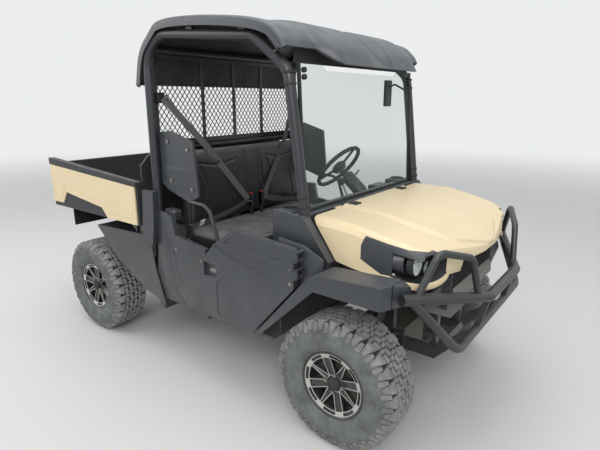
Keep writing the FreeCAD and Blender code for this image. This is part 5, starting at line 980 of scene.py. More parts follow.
class UTV_OT_lamps(bpy.types.Operator):
    """Headlamps behind domed lenses, in bowls that the hood's lower lip runs round"""

    bl_idname = "utv.lamps"
    bl_label = "Lamps"

    def execute(self, context):
        lamps = [self.lamp((1.278, -0.541, 0.949), 0.051, 6),
                 self.lamp((1.276, -0.438, 0.908), 0.033, 0)]
        bowls = join([bowl for bowl, lens in lamps], "lamp_bowls")
        lenses = join([lens for bowl, lens in lamps], "lamp_lenses")
        hand_over(both_sides(bowls), "lamp_reflectors", "bonnet", "lamp_glass", "headlamps")
        hand_over(both_sides(lenses), "lamp_lenses", "bonnet", "lamp_glass")
        self.pod_bowl()
        self.hood_lip()
        return {"FINISHED"}

    def lamp(self, face, radius, ring):
        """A lamp that looks forwards: its cup with optics and bars, and its lens.

        ring is the number of small optics round the middle one; without them it is large.
        """
        turn = Matrix.Translation(face) @ Matrix.Rotation(-math.pi / 2, 4, "Z")
        cup = spun([(radius * 0.86, -0.034), (radius, -0.028), (radius, 0.001),
                    (radius - 0.002, 0.003), (radius - 0.0035, 0.001), (radius - 0.004, -0.004),
                    (0.0, -0.006), (0.0, -0.034)], 40, "cup")
        # The cup's inside takes the near-white painted reflection.
        paint(smooth(cup, 35), "soft_black", "reflector_painted_reflection")
        for part in cup.data.polygons:
            from_axis = math.hypot(part.center.x, part.center.z)
            if from_axis < radius - 0.0030 and part.center.y > -0.015:
                part.material_index = 1
        parts = [cup]
        places = [(0.0, 0.0)]
        for number in range(ring):
            angle = 2 * math.pi * number / ring
            places.append((radius * 0.60 * math.cos(angle), radius * 0.60 * math.sin(angle)))
        small = radius * (0.27 if ring else 0.45)
        # The optics and bars take the same near-white painted reflection.
        for x, z in places:
            dome = spun([(small, -0.006), (small, -0.0010), (small * 0.8, 0.0005),
                         (small * 0.62, -0.0040), (small * 0.3, 0.0015), (0.0, 0.0030),
                         (0.0, -0.006)], 10, "optic")
            dome.data.transform(Matrix.Translation((x, 0, z)))
            parts.append(paint(dome, "reflector_painted_reflection"))
        bars = ring or 4
        for number in range(bars):
            bar = slab((radius * 0.30, -0.005, -0.0009), (radius - 0.005, 0.0010, 0.0009), 0.0003, 1)
            bar.data.transform(Matrix.Rotation(math.pi * (2 * number + 1) / bars, 4, "Y"))
            parts.append(paint(bar, "reflector_painted_reflection"))
        one = join(parts, "lamp")
        one.data.transform(turn)
        lens = spun([(0.0, 0.0110), (radius * 0.5, 0.0096), (radius * 0.85, 0.0062),
                     (radius - 0.0032, 0.0030), (radius - 0.0032, 0.0012), (radius * 0.85, 0.0044),
                     (radius * 0.5, 0.0078), (0.0, 0.0092)], 40, "lens")
        paint(smooth(lens, 60), "lens")
        lens.data.transform(turn)
        return one, lens

    def pod_bowl(self):
        """The moulding round the lamps."""
        rim = softened([(1.120, -0.613, 0.918), (1.185, -0.610, 0.893), (1.245, -0.590, 0.868),
                        (1.305, -0.552, 0.861), (1.352, -0.490, 0.868), (1.366, -0.448, 0.892),
                        (1.364, -0.428, 0.935), (1.360, -0.415, 0.985)])
        back = softened([(1.150, -0.600, 0.935), (1.172, -0.596, 0.905), (1.174, -0.570, 0.880),
                         (1.174, -0.530, 0.868), (1.174, -0.480, 0.860), (1.174, -0.430, 0.858),
                         (1.174, -0.398, 0.890), (1.174, -0.396, 0.985)])
        mouth, barrel = Vector((1.234, -0.532, 0.953)), 0.0585
        edge = []
        for degrees in range(-80, 91, 10):
            angle = math.radians(degrees)
            edge.append(mouth + Vector((0, -math.cos(angle), math.sin(angle))) * barrel)

        def bowl(u, v):
            """From the open rim back to the wall behind the lamps, with a round belly."""
            outer, inner = route_point(rim, u), route_point(back, u)
            belly = math.sin(math.pi * v) * 0.010 * math.sin(math.pi * min(1.0, u * 1.25))
            return outer.lerp(inner, v) - Vector((0, 0, belly))

        def fairing(u, v):
            """From the pod's side edge to the outer lamp's barrel."""
            start = Vector((1.128, -0.6145, 0.930 + 0.075 * u))
            bulge = math.sin(math.pi * v) * 0.012 * math.sin(math.pi * u)
            return start.lerp(route_point(edge, u), v) - Vector((0, bulge, 0))

        shell = paint(sheet_between(bowl, 48, 10, 0.004), "charcoal")
        cover = paint(sheet_between(fairing, 17, 8, 0.004), "charcoal")
        hand_over(both_sides(join([shell, cover], "pod")), "lamp_pod_bowls", "bonnet", "dark_plastic")

    def hood_lip(self):
        """The tan band below the lamps and the nose's corner above them."""
        line = softened([(1.155, -0.6165, 0.892), (1.215, -0.607, 0.872), (1.282, -0.574, 0.858),
                         (1.333, -0.522, 0.858), (1.362, -0.468, 0.872), (1.3715, -0.420, 0.890)])
        crown = [(1.288, 1.0220), (1.324, 1.0130), (1.340, 1.0070), (1.355, 1.0020),
                 (1.366, 0.9970), (1.370, 0.9900)]
        reach = softened([(1.288, -0.474, 0), (1.310, -0.496, 0), (1.338, -0.494, 0),
                          (1.358, -0.470, 0), (1.367, -0.430, 0), (1.370, -0.402, 0)])
        rear, inner = crown[0][0], -0.386
        length = crown[-1][0] - rear

        def lip(u, v):
            """An upright band along the line, slightly bulged, with narrow ends."""
            near = 0.03
            before, after = route_point(line, max(0.0, u - near)), route_point(line, min(1.0, u + near))
            ahead = after - before
            out = Vector((ahead.y, -ahead.x, 0)).normalized()
            swell = 0.003 * (math.sin(math.pi * u) + math.sin(math.pi * v))
            tall = 0.030 * min(1.0, 0.30 + 5 * u, 0.45 + 5 * (1 - u))
            return route_point(line, u) + out * swell - Vector((0, 0, tall * (v - 0.5)))

        def brow_tip(u, v):
            """The corner over the lamps: it follows the crown and ends at reach."""
            x = rear + length * u
            for (x0, z0), (x1, z1) in zip(crown, crown[1:]):
                if x <= x1 + 1e-6:
                    break
            outer = min(reach, key=lambda place: abs(place.x - x)).y
            height = z0 + (z1 - z0) * (x - x0) / (x1 - x0)
            return Vector((x, inner + (outer - inner) * v, height + 0.0016 - 0.0030 * v ** 6))

        band, corner = sheet_between(lip, 44, 4, 0.0045), sheet_between(brow_tip, 24, 12, 0.0034)
        kit = paint(join([band, corner], "edge"), "tan")
        hand_over(both_sides(kit), "hood_lip", "bonnet", "tan_paint")


class UTV_OT_grille(bpy.types.Operator):
    """Honeycomb mesh in the grille's frame"""

    bl_idname = "utv.grille"
    bl_label = "Grille mesh"

    def execute(self, context):
        face, foot, head = 1.349, 0.735, 0.900
        across, depth = 0.011, 0.008
        deselect()
        bpy.ops.mesh.primitive_cylinder_add(vertices=6, radius=across, depth=depth,
                                            end_fill_type="NOTHING", rotation=(0, math.pi / 2, 0))
        cell = apply(settle(bpy.context.object), "SOLIDIFY", thickness=0.0022, offset=0)
        step_y, step_z = across * math.sqrt(3), across * 1.5
        cells = []
        height = foot
        while height < head:
            # The opening narrows upwards, and every other row stands half a cell aside.
            half = 0.274 + (0.915 - height) * 0.28
            row = round((height - foot) / step_z)
            spot = -half + step_y / 2 * (row % 2)
            while spot < half:
                cells.append(turned_copy(cell, Matrix.Translation((face, spot, height))))
                spot += step_y
            height += step_z
        bpy.data.objects.remove(cell)
        mesh = paint(join(cells, "honeycomb"), "soft_black")
        hand_over(mesh, "grille_honeycomb", "chassis", "dark_plastic")
        return {"FINISHED"}


def ribbon(points, width, across, thick=0.0016, steps=28):
    """A strap of webbing along smoothed points; across is its width's way at each point."""
    route = [Vector(point) for point in points]
    sides = [Vector(side).normalized() for side in across]

    def place(u, v):
        """A place at a share of the width and of the length, on a curve through the points."""
        spot = v * (len(route) - 1)
        number = min(int(spot), len(route) - 2)
        share = spot - number
        before = route[max(number - 1, 0)]
        after = route[min(number + 2, len(route) - 1)]
        here, there = route[number], route[number + 1]
        centre = 0.5 * (2 * here + (there - before) * share
                        + (2 * before - 5 * here + 4 * there - after) * share ** 2
                        + (3 * here - before - 3 * there + after) * share ** 3)
        side = sides[number].lerp(sides[number + 1], share).normalized()
        return centre + side * width * (u - 0.5)

    return sheet_between(place, 4, steps, thick)


class UTV_OT_belts(bpy.types.Operator):
    """Shoulder and lap belts with their buckles, tongues and tags"""

    bl_idname = "utv.belts"
    bl_label = "Belts"

    def execute(self, context):
        wide = 0.046
        anchor = Vector((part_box("seat_belts")[0].x + 0.006, 0.612, 1.645))
        buckle = Vector((-0.150, 0.084, 0.985))
        clasp = Vector((-0.150, 0.068, 0.977))
        lap = Vector((-0.170, 0.5745, 0.886))
        # How far the shoulder strap stands off the back, by its share of the way down.
        stand_off = ((0, 0), (0.22, 0.010), (0.40, 0.024), (0.55, 0.022), (0.8, 0.008), (1, 0))
        route = [anchor.lerp(buckle, share) + Vector((ahead, 0, 0)) for share, ahead in stand_off]
        shoulder = ribbon(route, wide, [(0, 1, -0.8)] * len(route))
        thigh = ribbon([clasp, clasp.lerp(lap, 0.35) + Vector((0.012, 0, -0.012)),
                        clasp.lerp(lap, 0.7) + Vector((0.010, 0, -0.010)), lap],
                       wide, [(0.5, 0.1, 1), (0.6, 0, 1), (0.6, 0, 1), (0.5, 0, 1)])
        straps = both_sides(paint(join([shoulder, thigh], "straps"), "webbing"))
        hand_over(straps, "belt_webbing", "chassis", "webbing", "seat_belts")
        tag = ribbon([clasp.lerp(lap, 0.80) + Vector((0.010, 0, -0.001)),
                      clasp.lerp(lap, 0.86) + Vector((0.008, 0, -0.001))], 0.040,
                     [(0.5, 0, 1)] * 2, 0.006, 4)
        fittings = [paint(tag, "white_tag")]
        # Buckle body, its button, the tongue in it, and the lap strap's end plate.
        for low, high, bevel, segments, finish in (
                ((-0.166, 0.040, 0.925), (-0.134, 0.064, 1.018), 0.004, 2, "soft_black"),
                ((-0.161, 0.042, 1.012), (-0.139, 0.062, 1.023), 0.003, 2, "red_button"),
                ((-0.170, 0.060, 0.966), (-0.130, 0.098, 0.969), 0.001, 1, "plain_steel"),
                ((-0.186, 0.572, 0.800), (-0.156, 0.5755, 0.905), 0.001, 1, "plain_steel")):
            fittings.append(paint(slab(low, high, bevel, segments), finish))
        lap_bolt = disc((-0.171, 0.583, 0.812), (0, 1, 0), 0.011, 0.016, 6, 0.0015)
        top_bolt = disc((anchor.x + 0.010, 0.600, 1.650), (1, 0, 0), 0.013, 0.018, 6, 0.0015)
        fittings += [paint(lap_bolt, "plain_steel"), paint(top_bolt, "plain_steel")]
        kit = both_sides(join(fittings, "fittings"))
        hand_over(kit, "belt_fittings", "chassis", "dark_plastic")
        return {"FINISHED"}


class UTV_OT_guard_mesh(bpy.types.Operator):
    """The rear guard of expanded metal between flat bars"""

    bl_idname = "utv.guard_mesh"
    bl_label = "Rear guard mesh"

    def execute(self, context):
        low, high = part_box("rear_screen")
        bar, pitch, width, thick = 0.026, 0.036, 0.0052, 0.0018
        sheet = low.x + 0.006
        slope = math.radians(52)
        reach = (high.z - low.z) / math.tan(slope)
        half = high.y
        depth = Vector((thick / 2, 0, 0))
        pieces = []
        for lean in (1, -1):
            spread = Vector((0, -lean * math.sin(slope), math.cos(slope))) * width / 2
            foot = -half - reach + pitch / 2
            while foot < half:
                near, far = [Vector((sheet, lean * spot, low.z + (spot - foot) * math.tan(slope)))
                             for spot in (max(foot, -half), min(foot + reach, half))]
                flat = [near - spread, near + spread, far + spread, far - spread]
                strand = block([p - depth for p in flat], [p + depth for p in flat])
                pieces.append(outward(strand))
                foot += pitch
        # Three upright bars, then the frame's foot, head and two sides.
        bars = [((0.002, y - bar / 2, low.z), (0.010, y + bar / 2, high.z)) for y in (-0.275, 0.0, 0.275)]
        bars += [((-0.004, low.y, z0), (0.008, high.y, z1))
                 for z0, z1 in ((low.z, low.z + 0.030), (high.z - 0.022, high.z))]
        bars += [((-0.004, y, low.z), (0.008, y + 0.016, high.z)) for y in (low.y, high.y - 0.016)]
        for start, end in bars:
            start, end = (sheet + start[0], *start[1:]), (sheet + end[0], *end[1:])
            pieces.append(slab(start, end, 0.0015, 1))
        mesh = paint(join(pieces, "guard_mesh"), "steel")
        hand_over(mesh, "rear_guard_mesh", "chassis", "black_steel", "rear_screen")
        return {"FINISHED"}


class UTV_OT_roof(bpy.types.Operator):
    """The moulded roof: two lobes with soft flanks, rolled edges and a skirt"""

    bl_idname = "utv.roof"
    bl_label = "Roof"

    def execute(self, context):
        low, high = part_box("roof")
        # The roof's outline from its rear edge to its brow, as (ahead, up) of the box's corner.
        line = [(0.0, 0.0), (0.046, 0.187), (0.160, 0.283), (0.228, 0.337), (0.568, 0.329),
                (0.997, 0.275), (1.159, 0.164), (1.204, 0.069)]
        # How the last three points move at the side strips, on the lobes and in the channel.
        shapes = {
            "strip": ((0.0, 0.0), (-0.066, 0.028), (-0.088, 0.080)),
            "crown": ((0.0, 0.022), (0.018, 0.022), (0.034, 0.012)),
            "channel": ((0.0, 0.0), (-0.014, 0.0), (0.022, 0.012)),
        }

        def outline(name):
            """The outline with the moves of one shape."""
            points = [Vector((low.x + x, 0, low.z + 0.004 + z)) for x, z in line]
            for point, (ahead, up) in zip(points[5:], shapes[name]):
                point += Vector((ahead, 0, up))
            return points

        strip, crown, channel = outline("strip"), outline("crown"), outline("channel")

        def step(across, start, end):
            """A soft step from 0 at start to 1 at end."""
            share = min(1.0, max(0.0, (across - start) / (end - start)))
            return share * share * (3 - 2 * share)

        def blend(across):
            """The outline at a place across the roof, with soft steps at the lobes' flanks."""
            into, out = step(across, 0.064, 0.118), step(across, 0.402, 0.462)
            return [a * (into * (1 - out)) + b * out + c * (1 - into)
                    for a, b, c in zip(crown, strip, channel)]

        # Sections from the side's lower edge to the middle, as (across, drop below the outline).
        edge, skirt, round_off = high.y - 0.0045, 0.050, 0.026
        stations = [(edge, skirt), (edge, skirt * 0.72)]
        for number in range(7):
            angle = math.pi / 2 * number / 6
            stations.append((edge - round_off * (1 - math.cos(angle)),
                             round_off * (1 - math.sin(angle))))
        for across in (0.64, 0.58, 0.52, 0.475, 0.462, 0.450, 0.438, 0.426, 0.414, 0.402, 0.36,
                       0.30, 0.24, 0.18, 0.13, 0.118, 0.106, 0.094, 0.082, 0.070, 0.058, 0.03):
            stations.append((across, 0.0))
        rows = [(-across, drop) for across, drop in stations] + [(0.0, 0.0)] + stations[::-1]
        profiles = []
        for across, drop in rows:
            route = softened(blend(abs(across)))
            placed = []
            for number, point in enumerate(route):
                before, after = route[max(number - 1, 0)], route[min(number + 1, len(route) - 1)]
                along = (after - before).normalized()
                inward = Vector((along.z, 0, -along.x))
                placed.append(point + inward * drop + Vector((0, across, 0)))
            lip, heel = placed[-1], placed[0]
            turned_in = Vector((0.020, 0, 0))
            down = Vector((0, 0, 0.002))
            profiles.append([heel + turned_in - down] + placed + [lip - turned_in - down])
        last_row, last = len(profiles) - 1, len(profiles[0]) - 1

        def place(u, v):
            """The point of a section and of its outline at two shares."""
            return profiles[round(u * last_row)][round(v * last)]

        panel = sheet_between(place, last_row, last, 0.0)
        if sum(face.normal.z * face.area for face in panel.data.polygons) < 0:
            panel.data.flip_normals()
        apply(panel, "SOLIDIFY", thickness=0.008, offset=-1)
        paint(smooth(panel, 50), "roof")
        hand_over(panel, "roof_finished", "chassis", "dark_plastic", "roof")
        header = slab((0.628, -0.575, 1.800), (0.634, 0.575, 1.880), 0.002, 1)
        lamp = disc((0.10, 0.0, 1.962), (0, 0, 1), 0.045, 0.03, 28, 0.006)
        kit = join([paint(header, "soft_black"), paint(lamp, "charcoal")], "lining")
        hand_over(kit, "roof_header", "chassis", "dark_plastic")
        return {"FINISHED"}


class UTV_OT_screen(bpy.types.Operator):
    """Rubber edges and knobs of the windscreen"""

    bl_idname = "utv.screen"
    bl_label = "Windscreen fittings"

    def execute(self, context):
        low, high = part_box("windscreen")
        foot = Vector((high.x - 0.0025, high.y - 0.010, low.z))
        head = Vector((low.x + 0.0025, high.y - 0.004, high.z))
        seal_width = 0.018

        def edge(u, v):
            """The rubber along the screen's side."""
            return foot.lerp(head, v) + Vector((0, seal_width * (u - 0.5), 0))

        pieces = [paint(sheet_between(edge, 2, 12, 0.011), "soft_black")]
        for share in (0.955, 0.91):
            centre = foot.lerp(head, share) + Vector((0.008, -0.030, 0))
            pieces.append(paint(disc(centre, (1, 0, 0.1), 0.013, 0.018, 20, 0.003), "soft_black"))
        kit = both_sides(join(pieces, "edges"))
        sill = slab((high.x - 0.010, low.y + 0.01, low.z), (high.x + 0.007, high.y - 0.01, low.z + 0.014),
                    0.003)
        kit = join([kit, paint(sill, "soft_black")], "edges")
        hand_over(kit, "windscreen_edges", "chassis", "dark_plastic")
        return {"FINISHED"}


class UTV_OT_steering(bpy.types.Operator):
    """Steering wheel with a grip, three spokes and a hub cover, and the column's shroud"""

    bl_idname = "utv.steering"
    bl_label = "Steering wheel"

    def execute(self, context):
        hub, ring_radius, grip = Vector((0.290, 0.360, 1.190)), 0.172, 0.0135
        rake = math.radians(40)
        down = Vector((math.cos(rake), 0, -math.sin(rake)))
        deselect()
        bpy.ops.mesh.primitive_torus_add(major_radius=ring_radius, minor_radius=grip,
                                         major_segments=72, minor_segments=16)
        ring = settle(bpy.context.object)
        # Eighteen finger waves round the rim.
        waves, wave = 18, 0.0025
        for vertex in ring.data.vertices:
            around = math.atan2(vertex.co.y, vertex.co.x)
            swell = 1 + wave / ring_radius * max(0.0, math.cos(around * waves))
            vertex.co.x *= swell
            vertex.co.y *= swell
        cover = spun([(0.0, -0.020), (0.040, -0.016), (0.052, -0.006), (0.054, 0.010),
                      (0.040, 0.028), (0.0, 0.032)], 40, "cover")
        cover.data.transform(Matrix.Rotation(math.pi / 2, 4, "X"))
        pieces = [paint(smooth(ring, 60), "soft_black"), paint(smooth(cover, 40), "charcoal")]
        for degrees in (90, 210, 330):
            flat = slab((0.040, -0.017, 0.004), (0.166, 0.017, 0.011), 0.003)
            flat.data.transform(Matrix.Rotation(math.radians(degrees), 4, "Z"))
            pieces.append(paint(flat, "soft_black"))
        wheel = join(pieces, "wheel")
        turn = down.to_track_quat("Z", "Y").to_matrix().to_4x4()
        wheel.data.transform(Matrix.Translation(hub) @ turn)
        hand_over(wheel, "steering_wheel_finished", "steering", "dark_plastic", "steering_wheel")
        shroud = disc(hub + down * 0.165, down, 0.046, 0.17, 20, 0.014)
        stalk = tube([hub + down * 0.12 + Vector((0, 0.03, 0)),
                      hub + down * 0.10 + Vector((0, 0.14, 0.03))], 0.006)
        kit = join([paint(shroud, "charcoal"), paint(stalk, "soft_black")], "shroud")
        hand_over(kit, "column_shroud", "chassis", "dark_plastic")
        return {"FINISHED"}


def bolt(place, axis, radius, tall=0.005, sides=6):
    """A bolt head standing on a face."""
    head = disc(Vector(place) + Vector(axis) * tall / 2, axis, radius, tall, sides, radius * 0.16)
    washer = disc(Vector(place) + Vector(axis) * 0.0006, axis, radius * 1.45, 0.0022, 20)
    return join([head, washer], "bolt")


class UTV_OT_details(bpy.types.Operator):
    """Bolts, latches, springs, boots, tube ends, and the small parts of cab, bed and hood"""

    bl_idname = "utv.details"
    bl_label = "Small parts"

    def execute(self, context):
        for build in (self.side_bolts, self.springs, self.boots, self.guard_ends, self.fender_seams,
                      self.cab_sides, self.cage_sleeves, self.belt_retractors, self.cab_controls,
                      self.bed_fittings, self.gate_fittings, self.hood_hinges):
            build()
        return {"FINISHED"}

    def fender_seams(self):
        """The dark line across each front fender, where its two mouldings meet: a near-black strip of
        painted shade in the seam.
        """
        joint, half_width, proud, level = 1.2545, 0.0014, 0.0012, 0.80
        seam = bpy.data.objects.new("seam", frame["nodes"]["front_fenders"].data.copy())
        bpy.context.scene.collection.objects.link(seam)
        for way in (-1, 1):
            edit(seam, "SELECT")
            bpy.ops.mesh.bisect(plane_co=(joint + way * half_width, 0, 0), plane_no=(way, 0, 0),
                                clear_outer=True, use_fill=True)
            leave()
        for spot in seam.data.vertices:
            aside, up = math.copysign(proud, spot.co.y), math.copysign(proud, spot.co.z - level)
            spot.co += Vector((0, aside, up))
        # The seam strip is painted near-black as the shade in the joint.
        hand_over(paint(seam, "black_and_painted_shade"), "fender_seams", "chassis", "dark_plastic")

    def cab_sides(self):
        """Filling panels behind the hinge and the post, the sill rim, and the cup holder."""
        hinge_panel = prism([(0.64, 1.00), (0.79, 0.985), (0.90, 0.935), (0.90, 0.88), (0.80, 0.80),
                             (0.70, 0.705), (0.62, 0.705)], 0.700, 0.707, 0.002)
        side_fill = prism([(-0.33, 1.00), (-0.215, 0.985), (-0.192, 0.78), (-0.14, 0.57),
                           (-0.04, 0.475), (0.0, 0.445), (-0.29, 0.435), (-0.36, 0.60),
                           (-0.33, 0.77)], 0.688, 0.695, 0.002)
        rim = tube([(-0.232, 0.704, 0.975), (-0.209, 0.704, 0.775), (-0.154, 0.704, 0.556),
                    (-0.062, 0.703, 0.462), (0.10, 0.692, 0.444)], 0.020, 12, 0.09)

        def cheek(u, v):
            """The strip between the cowl's side and the hood's; both edges lean back."""
            height = 1.096 - 0.190 * u
            back = 0.745 + (1.105 - height) * 0.767
            front = 0.775 + (1.063 - height) * 0.778
            return Vector((back + (front - back) * v, 0.652 - 0.044 * v, height))

        edge_fill = sheet_between(cheek, 8, 4, 0.003)
        hole, mouth = 0.041, Vector((0.618, 0.585, 1.115))
        corner = slab((0.566, 0.505, 1.00), (0.672, 0.652, 1.116), 0.012, 3)
        hollow = disc(mouth - Vector((0, 0, 0.015)), (0, 0, 1), hole, 0.09, 40)
        apply(corner, "BOOLEAN", object=hollow)
        bpy.data.objects.remove(hollow)
        ring = spun([(hole, -0.002), (0.046, -0.002), (0.046, 0.004), (0.0435, 0.006),
                     (hole, 0.004)], 40, "ring")
        ring.data.transform(Matrix.Translation(mouth) @ Matrix.Rotation(math.pi / 2, 4, "X"))
        pieces = [hinge_panel, side_fill, rim, smooth(corner), smooth(ring, 40), edge_fill]
        kit = paint(join(pieces, "sides"), "charcoal")
        hand_over(both_sides(kit), "cab_side_fillings", "chassis", "dark_plastic")

    def cage_sleeves(self):
        """The collars at the head and foot of the screen's post."""
        head, foot = Vector((0.637, 0.620, 1.770)), Vector((0.724, 0.612, 1.120))
        sleeves = [disc(head.lerp(foot, share), foot - head, 0.0305, 0.012, 32, 0.002)
                   for share in (0.02, 0.10, 0.90, 0.97)]
        kit = paint(join(sleeves, "sleeves"), "soft_black")
        hand_over(both_sides(kit), "cage_sleeves", "chassis", "black_steel")

    def belt_retractors(self):
        """The covers over the belts' reels."""
        case = slab((-0.305, 0.592, 0.925), (-0.205, 0.660, 1.000), 0.018, 3)
        reel = disc((-0.255, 0.662, 0.962), (0, 1, 0), 0.026, 0.006, 28, 0.002)
        kit = paint(join([case, reel], "case"), "charcoal")
        hand_over(both_sides(kit), "belt_retractors", "chassis", "dark_plastic")

    def cab_controls(self):
        """Gear lever, two pedals, the instrument, and the seams of the dashboard's lids in near-black
        painted shade.
        """
        lever = 0.13
        rod = tube([(0.545, lever, 0.97), (0.500, lever, 1.06), (0.470, lever, 1.12)], 0.007, 12,
                   0.04)
        knob = spun([(0.0, -0.024), (0.012, -0.022), (0.019, -0.006), (0.020, 0.010),
                     (0.012, 0.022), (0.0, 0.024)], 24, "knob")
        stand = Matrix.Translation((0.462, lever, 1.136))
        knob.data.transform(stand @ Matrix.Rotation(math.pi / 2, 4, "X"))
        pieces = [paint(rod, "plain_steel"), paint(smooth(knob, 60), "soft_black")]
        tilt = Matrix.Translation((0.470, 0, 0.600)) @ Matrix.Rotation(math.radians(-32), 4, "Y")
        for y, wide in ((0.30, 0.075), (0.43, 0.055)):
            plates = [slab((-0.004, y - wide / 2, -0.045), (0.006, y + wide / 2, 0.045), 0.003)]
            for rise in (-0.025, 0.0, 0.025):
                plates.append(slab((-0.006, y - wide * 0.42, rise - 0.003),
                                   (-0.003, y + wide * 0.42, rise + 0.003), 0.001, 1))
            for plate in plates:
                plate.data.transform(tilt)
                pieces.append(paint(plate, "soft_black"))
            arm = tube([(0.478, y, 0.605), (0.530, y, 0.700), (0.560, y, 0.900)], 0.007, 8, 0.04)
            pieces.append(paint(arm, "steel"))
        top = top_of("dashboard", 0.58, 0.36)
        hood = slab((0.560, 0.285, top - 0.004), (0.632, 0.435, top + 0.026), 0.010, 3)
        # The dial's face takes the near-black that also serves as painted shade.
        dial = slab((0.5575, 0.300, top - 0.002), (0.5605, 0.420, top + 0.018), 0.001, 1)
        pieces += [paint(hood, "charcoal"), paint(dial, "black_and_painted_shade")]
        # The lids' seams are near-black strips of painted shade.
        for y in (-0.40, -0.12):
            seam = slab((0.5270, y - 0.13, 0.935), (0.5310, y + 0.13, 0.938))
            pieces.append(paint(seam, "black_and_painted_shade"))
        hand_over(join(pieces, "controls"), "cab_controls", "chassis", "dark_plastic")

    def bed_fittings(self):
        """The bed's floor ribs and its six rope hooks."""
        floor = top_of("bed_tub", -1.0, 0.0)
        parts = []
        for number in range(9):
            y = -0.60 + 0.15 * number
            parts.append(slab((-1.455, y - 0.020, floor - 0.002), (-0.53, y + 0.020, floor + 0.006),
                              0.003))
        wall, stand, height, half = 0.700, 0.682, 1.090, 0.05
        for x in (-1.36, -0.95, -0.56):
            for side in (-1, 1):
                corners = [(x - half, side * wall, height), (x - half, side * stand, height),
                           (x + half, side * stand, height), (x + half, side * wall, height)]
                parts.append(tube(corners, 0.005, 8, 0.015))
        hand_over(paint(join(parts, "bed_kit"), "bed"), "bed_floor_ribs", "bed", "bed_steel")

    def gate_fittings(self):
        """The tailgate's ribs across and upright, and its two latches."""
        low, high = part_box("tailgate")
        proud, sunk, half, side_rib = low.x - 0.006, low.x + 0.002, 0.014, 0.655
        gate = []
        for z in (low.z + 0.075, (low.z + high.z) / 2, high.z - 0.060):
            gate.append(slab((proud, -0.60, z - half), (sunk, 0.60, z + half), 0.004))
        for y in (-side_rib, side_rib):
            gate.append(slab((proud, y - half, low.z + 0.02), (sunk, y + half, high.z - 0.015), 0.004))
            gate.append(slab((low.x - 0.014, y - 0.030, high.z - 0.075),
                             (low.x - 0.002, y + 0.030, high.z - 0.045), 0.004))
        hand_over(paint(join(gate, "gate_kit"), "bed"), "gate_ribs", "gate", "bed_steel")

    def hood_hinges(self):
        """The two black hinges between cowl and hood, and the shelf under the grille."""
        top = top_of("hood", 0.80, 0.27) + 0.001
        leaf = slab((0.774, 0.245, top - 0.004), (0.826, 0.300, top + 0.006), 0.003)
        screw = bolt((0.805, 0.272, top + 0.006), (0, 0, 1), 0.006, 0.004)
        kit = paint(join([leaf, screw], "hinge"), "soft_black")
        hand_over(both_sides(kit), "hood_hinge_leaves", "bonnet", "black_steel")
        top = top_of("cowl", 0.735, 0.27)
        seat = slab((0.700, 0.240, top - 0.002), (0.738, 0.305, top + 0.004), 0.002)
        paint(seat, "soft_black")
        hand_over(both_sides(seat), "hood_hinge_seats", "chassis", "black_steel")
        shelf = prism([(1.352, 0.705), (1.372, 0.700), (1.366, 0.760), (1.352, 0.772)], -0.285,
                      0.285, 0.003)
        hand_over(paint(shelf, "plain_steel"), "grille_shelf", "chassis", "dark_plastic")

    def side_bolts(self):
        """Hinge bolts and latch of both doors, and the bolts of guards and side panels."""
        out = (0, 1, 0)
        for name in ("right", "left"):
            heads = [bolt((0.750, 0.760, height), out, 0.007) for height in (0.935, 0.865, 0.80)]
            cup = disc((0.215, 0.741, 0.745), out, 0.016, 0.010, 24, 0.003)
            lever = slab((0.19, 0.744, 0.738), (0.255, 0.752, 0.752), 0.003)
            kit = paint(join(heads + [cup, lever], "door_bolts"), "plain_steel")
            if name == "right":
                mirrored(kit)
            hand_over(kit, "door_fittings_" + name, name + "_door", "black_steel")
        guard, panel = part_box("shoulder_guards")[1].y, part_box("side_panels")[1].y
        heads = [bolt((x, guard, z), out, 0.008)
                 for x, z in ((-0.245, 1.40), (-0.075, 1.36), (-0.05, 1.14), (-0.23, 1.175))]
        heads += [bolt((x, panel, z), out, 0.006, 0.003, 16) for x, z in ((0.085, 0.765), (-0.13, 0.79))]
        kit = paint(join(heads, "side_bolts"), "plain_steel")
        hand_over(both_sides(kit), "side_bolts", "chassis", "bright_steel")

    def springs(self):
        """A coil round each shock, from its eye on the arm to its eye on the frame."""
        arm_end, arm_root, eye, coil, plate = 0.560, 0.232, 0.430, 0.031, 0.046
        turns, steps = 7, 16
        share_in = (arm_end - eye) / (arm_end - arm_root)
        coils = []
        for axle in AXLES:
            x = axle + 0.100 * share_in
            foot, head = Vector((x, eye, 0.456 - 0.012 * share_in)), Vector((x, 0.272, 0.672))
            along = (head - foot).normalized()
            start, end = foot + along * plate, head - along * plate
            turn = along.to_track_quat("Z", "Y").to_matrix()
            points = []
            for number in range(turns * steps + 1):
                angle = 2 * math.pi * number / steps
                ring = turn @ Vector((coil * math.cos(angle), coil * math.sin(angle), 0))
                points.append(start.lerp(end, number / (turns * steps)) + ring)
            coils.append(tube(points, 0.0055, 8))
        kit = paint(join(coils, "coils"), "steel")
        hand_over(both_sides(kit), "shock_springs", "chassis", "black_steel")

    def boots(self):
        """Folded rubber boots at both ends of each drive shaft."""
        start, fold, folds, bore, shaft_height = 0.395, 0.0052, 12, 0.014, 0.330
        middle = 0.295
        pieces = []
        for axle in AXLES:
            section = []
            for number in range(folds + 1):
                radius = 0.022 + 0.013 * (number / folds) + 0.005 * (number % 2)
                section.append((radius, start + number * fold))
            section += [(bore, start + folds * fold), (bore, start)]
            boot = spun(section, 28, "boot")
            boot.data.transform(Matrix.Translation((axle, 0, shaft_height)))
            paint(smooth(boot, 50), "soft_black")
            inner = turned_copy(boot, Matrix.Translation((0, 2 * middle, 0)) @ FLIP)
            inner.data.flip_normals()
            pieces += [boot, inner]
        hand_over(both_sides(join(pieces, "boots")), "drive_boots", "chassis", "cast_metal")

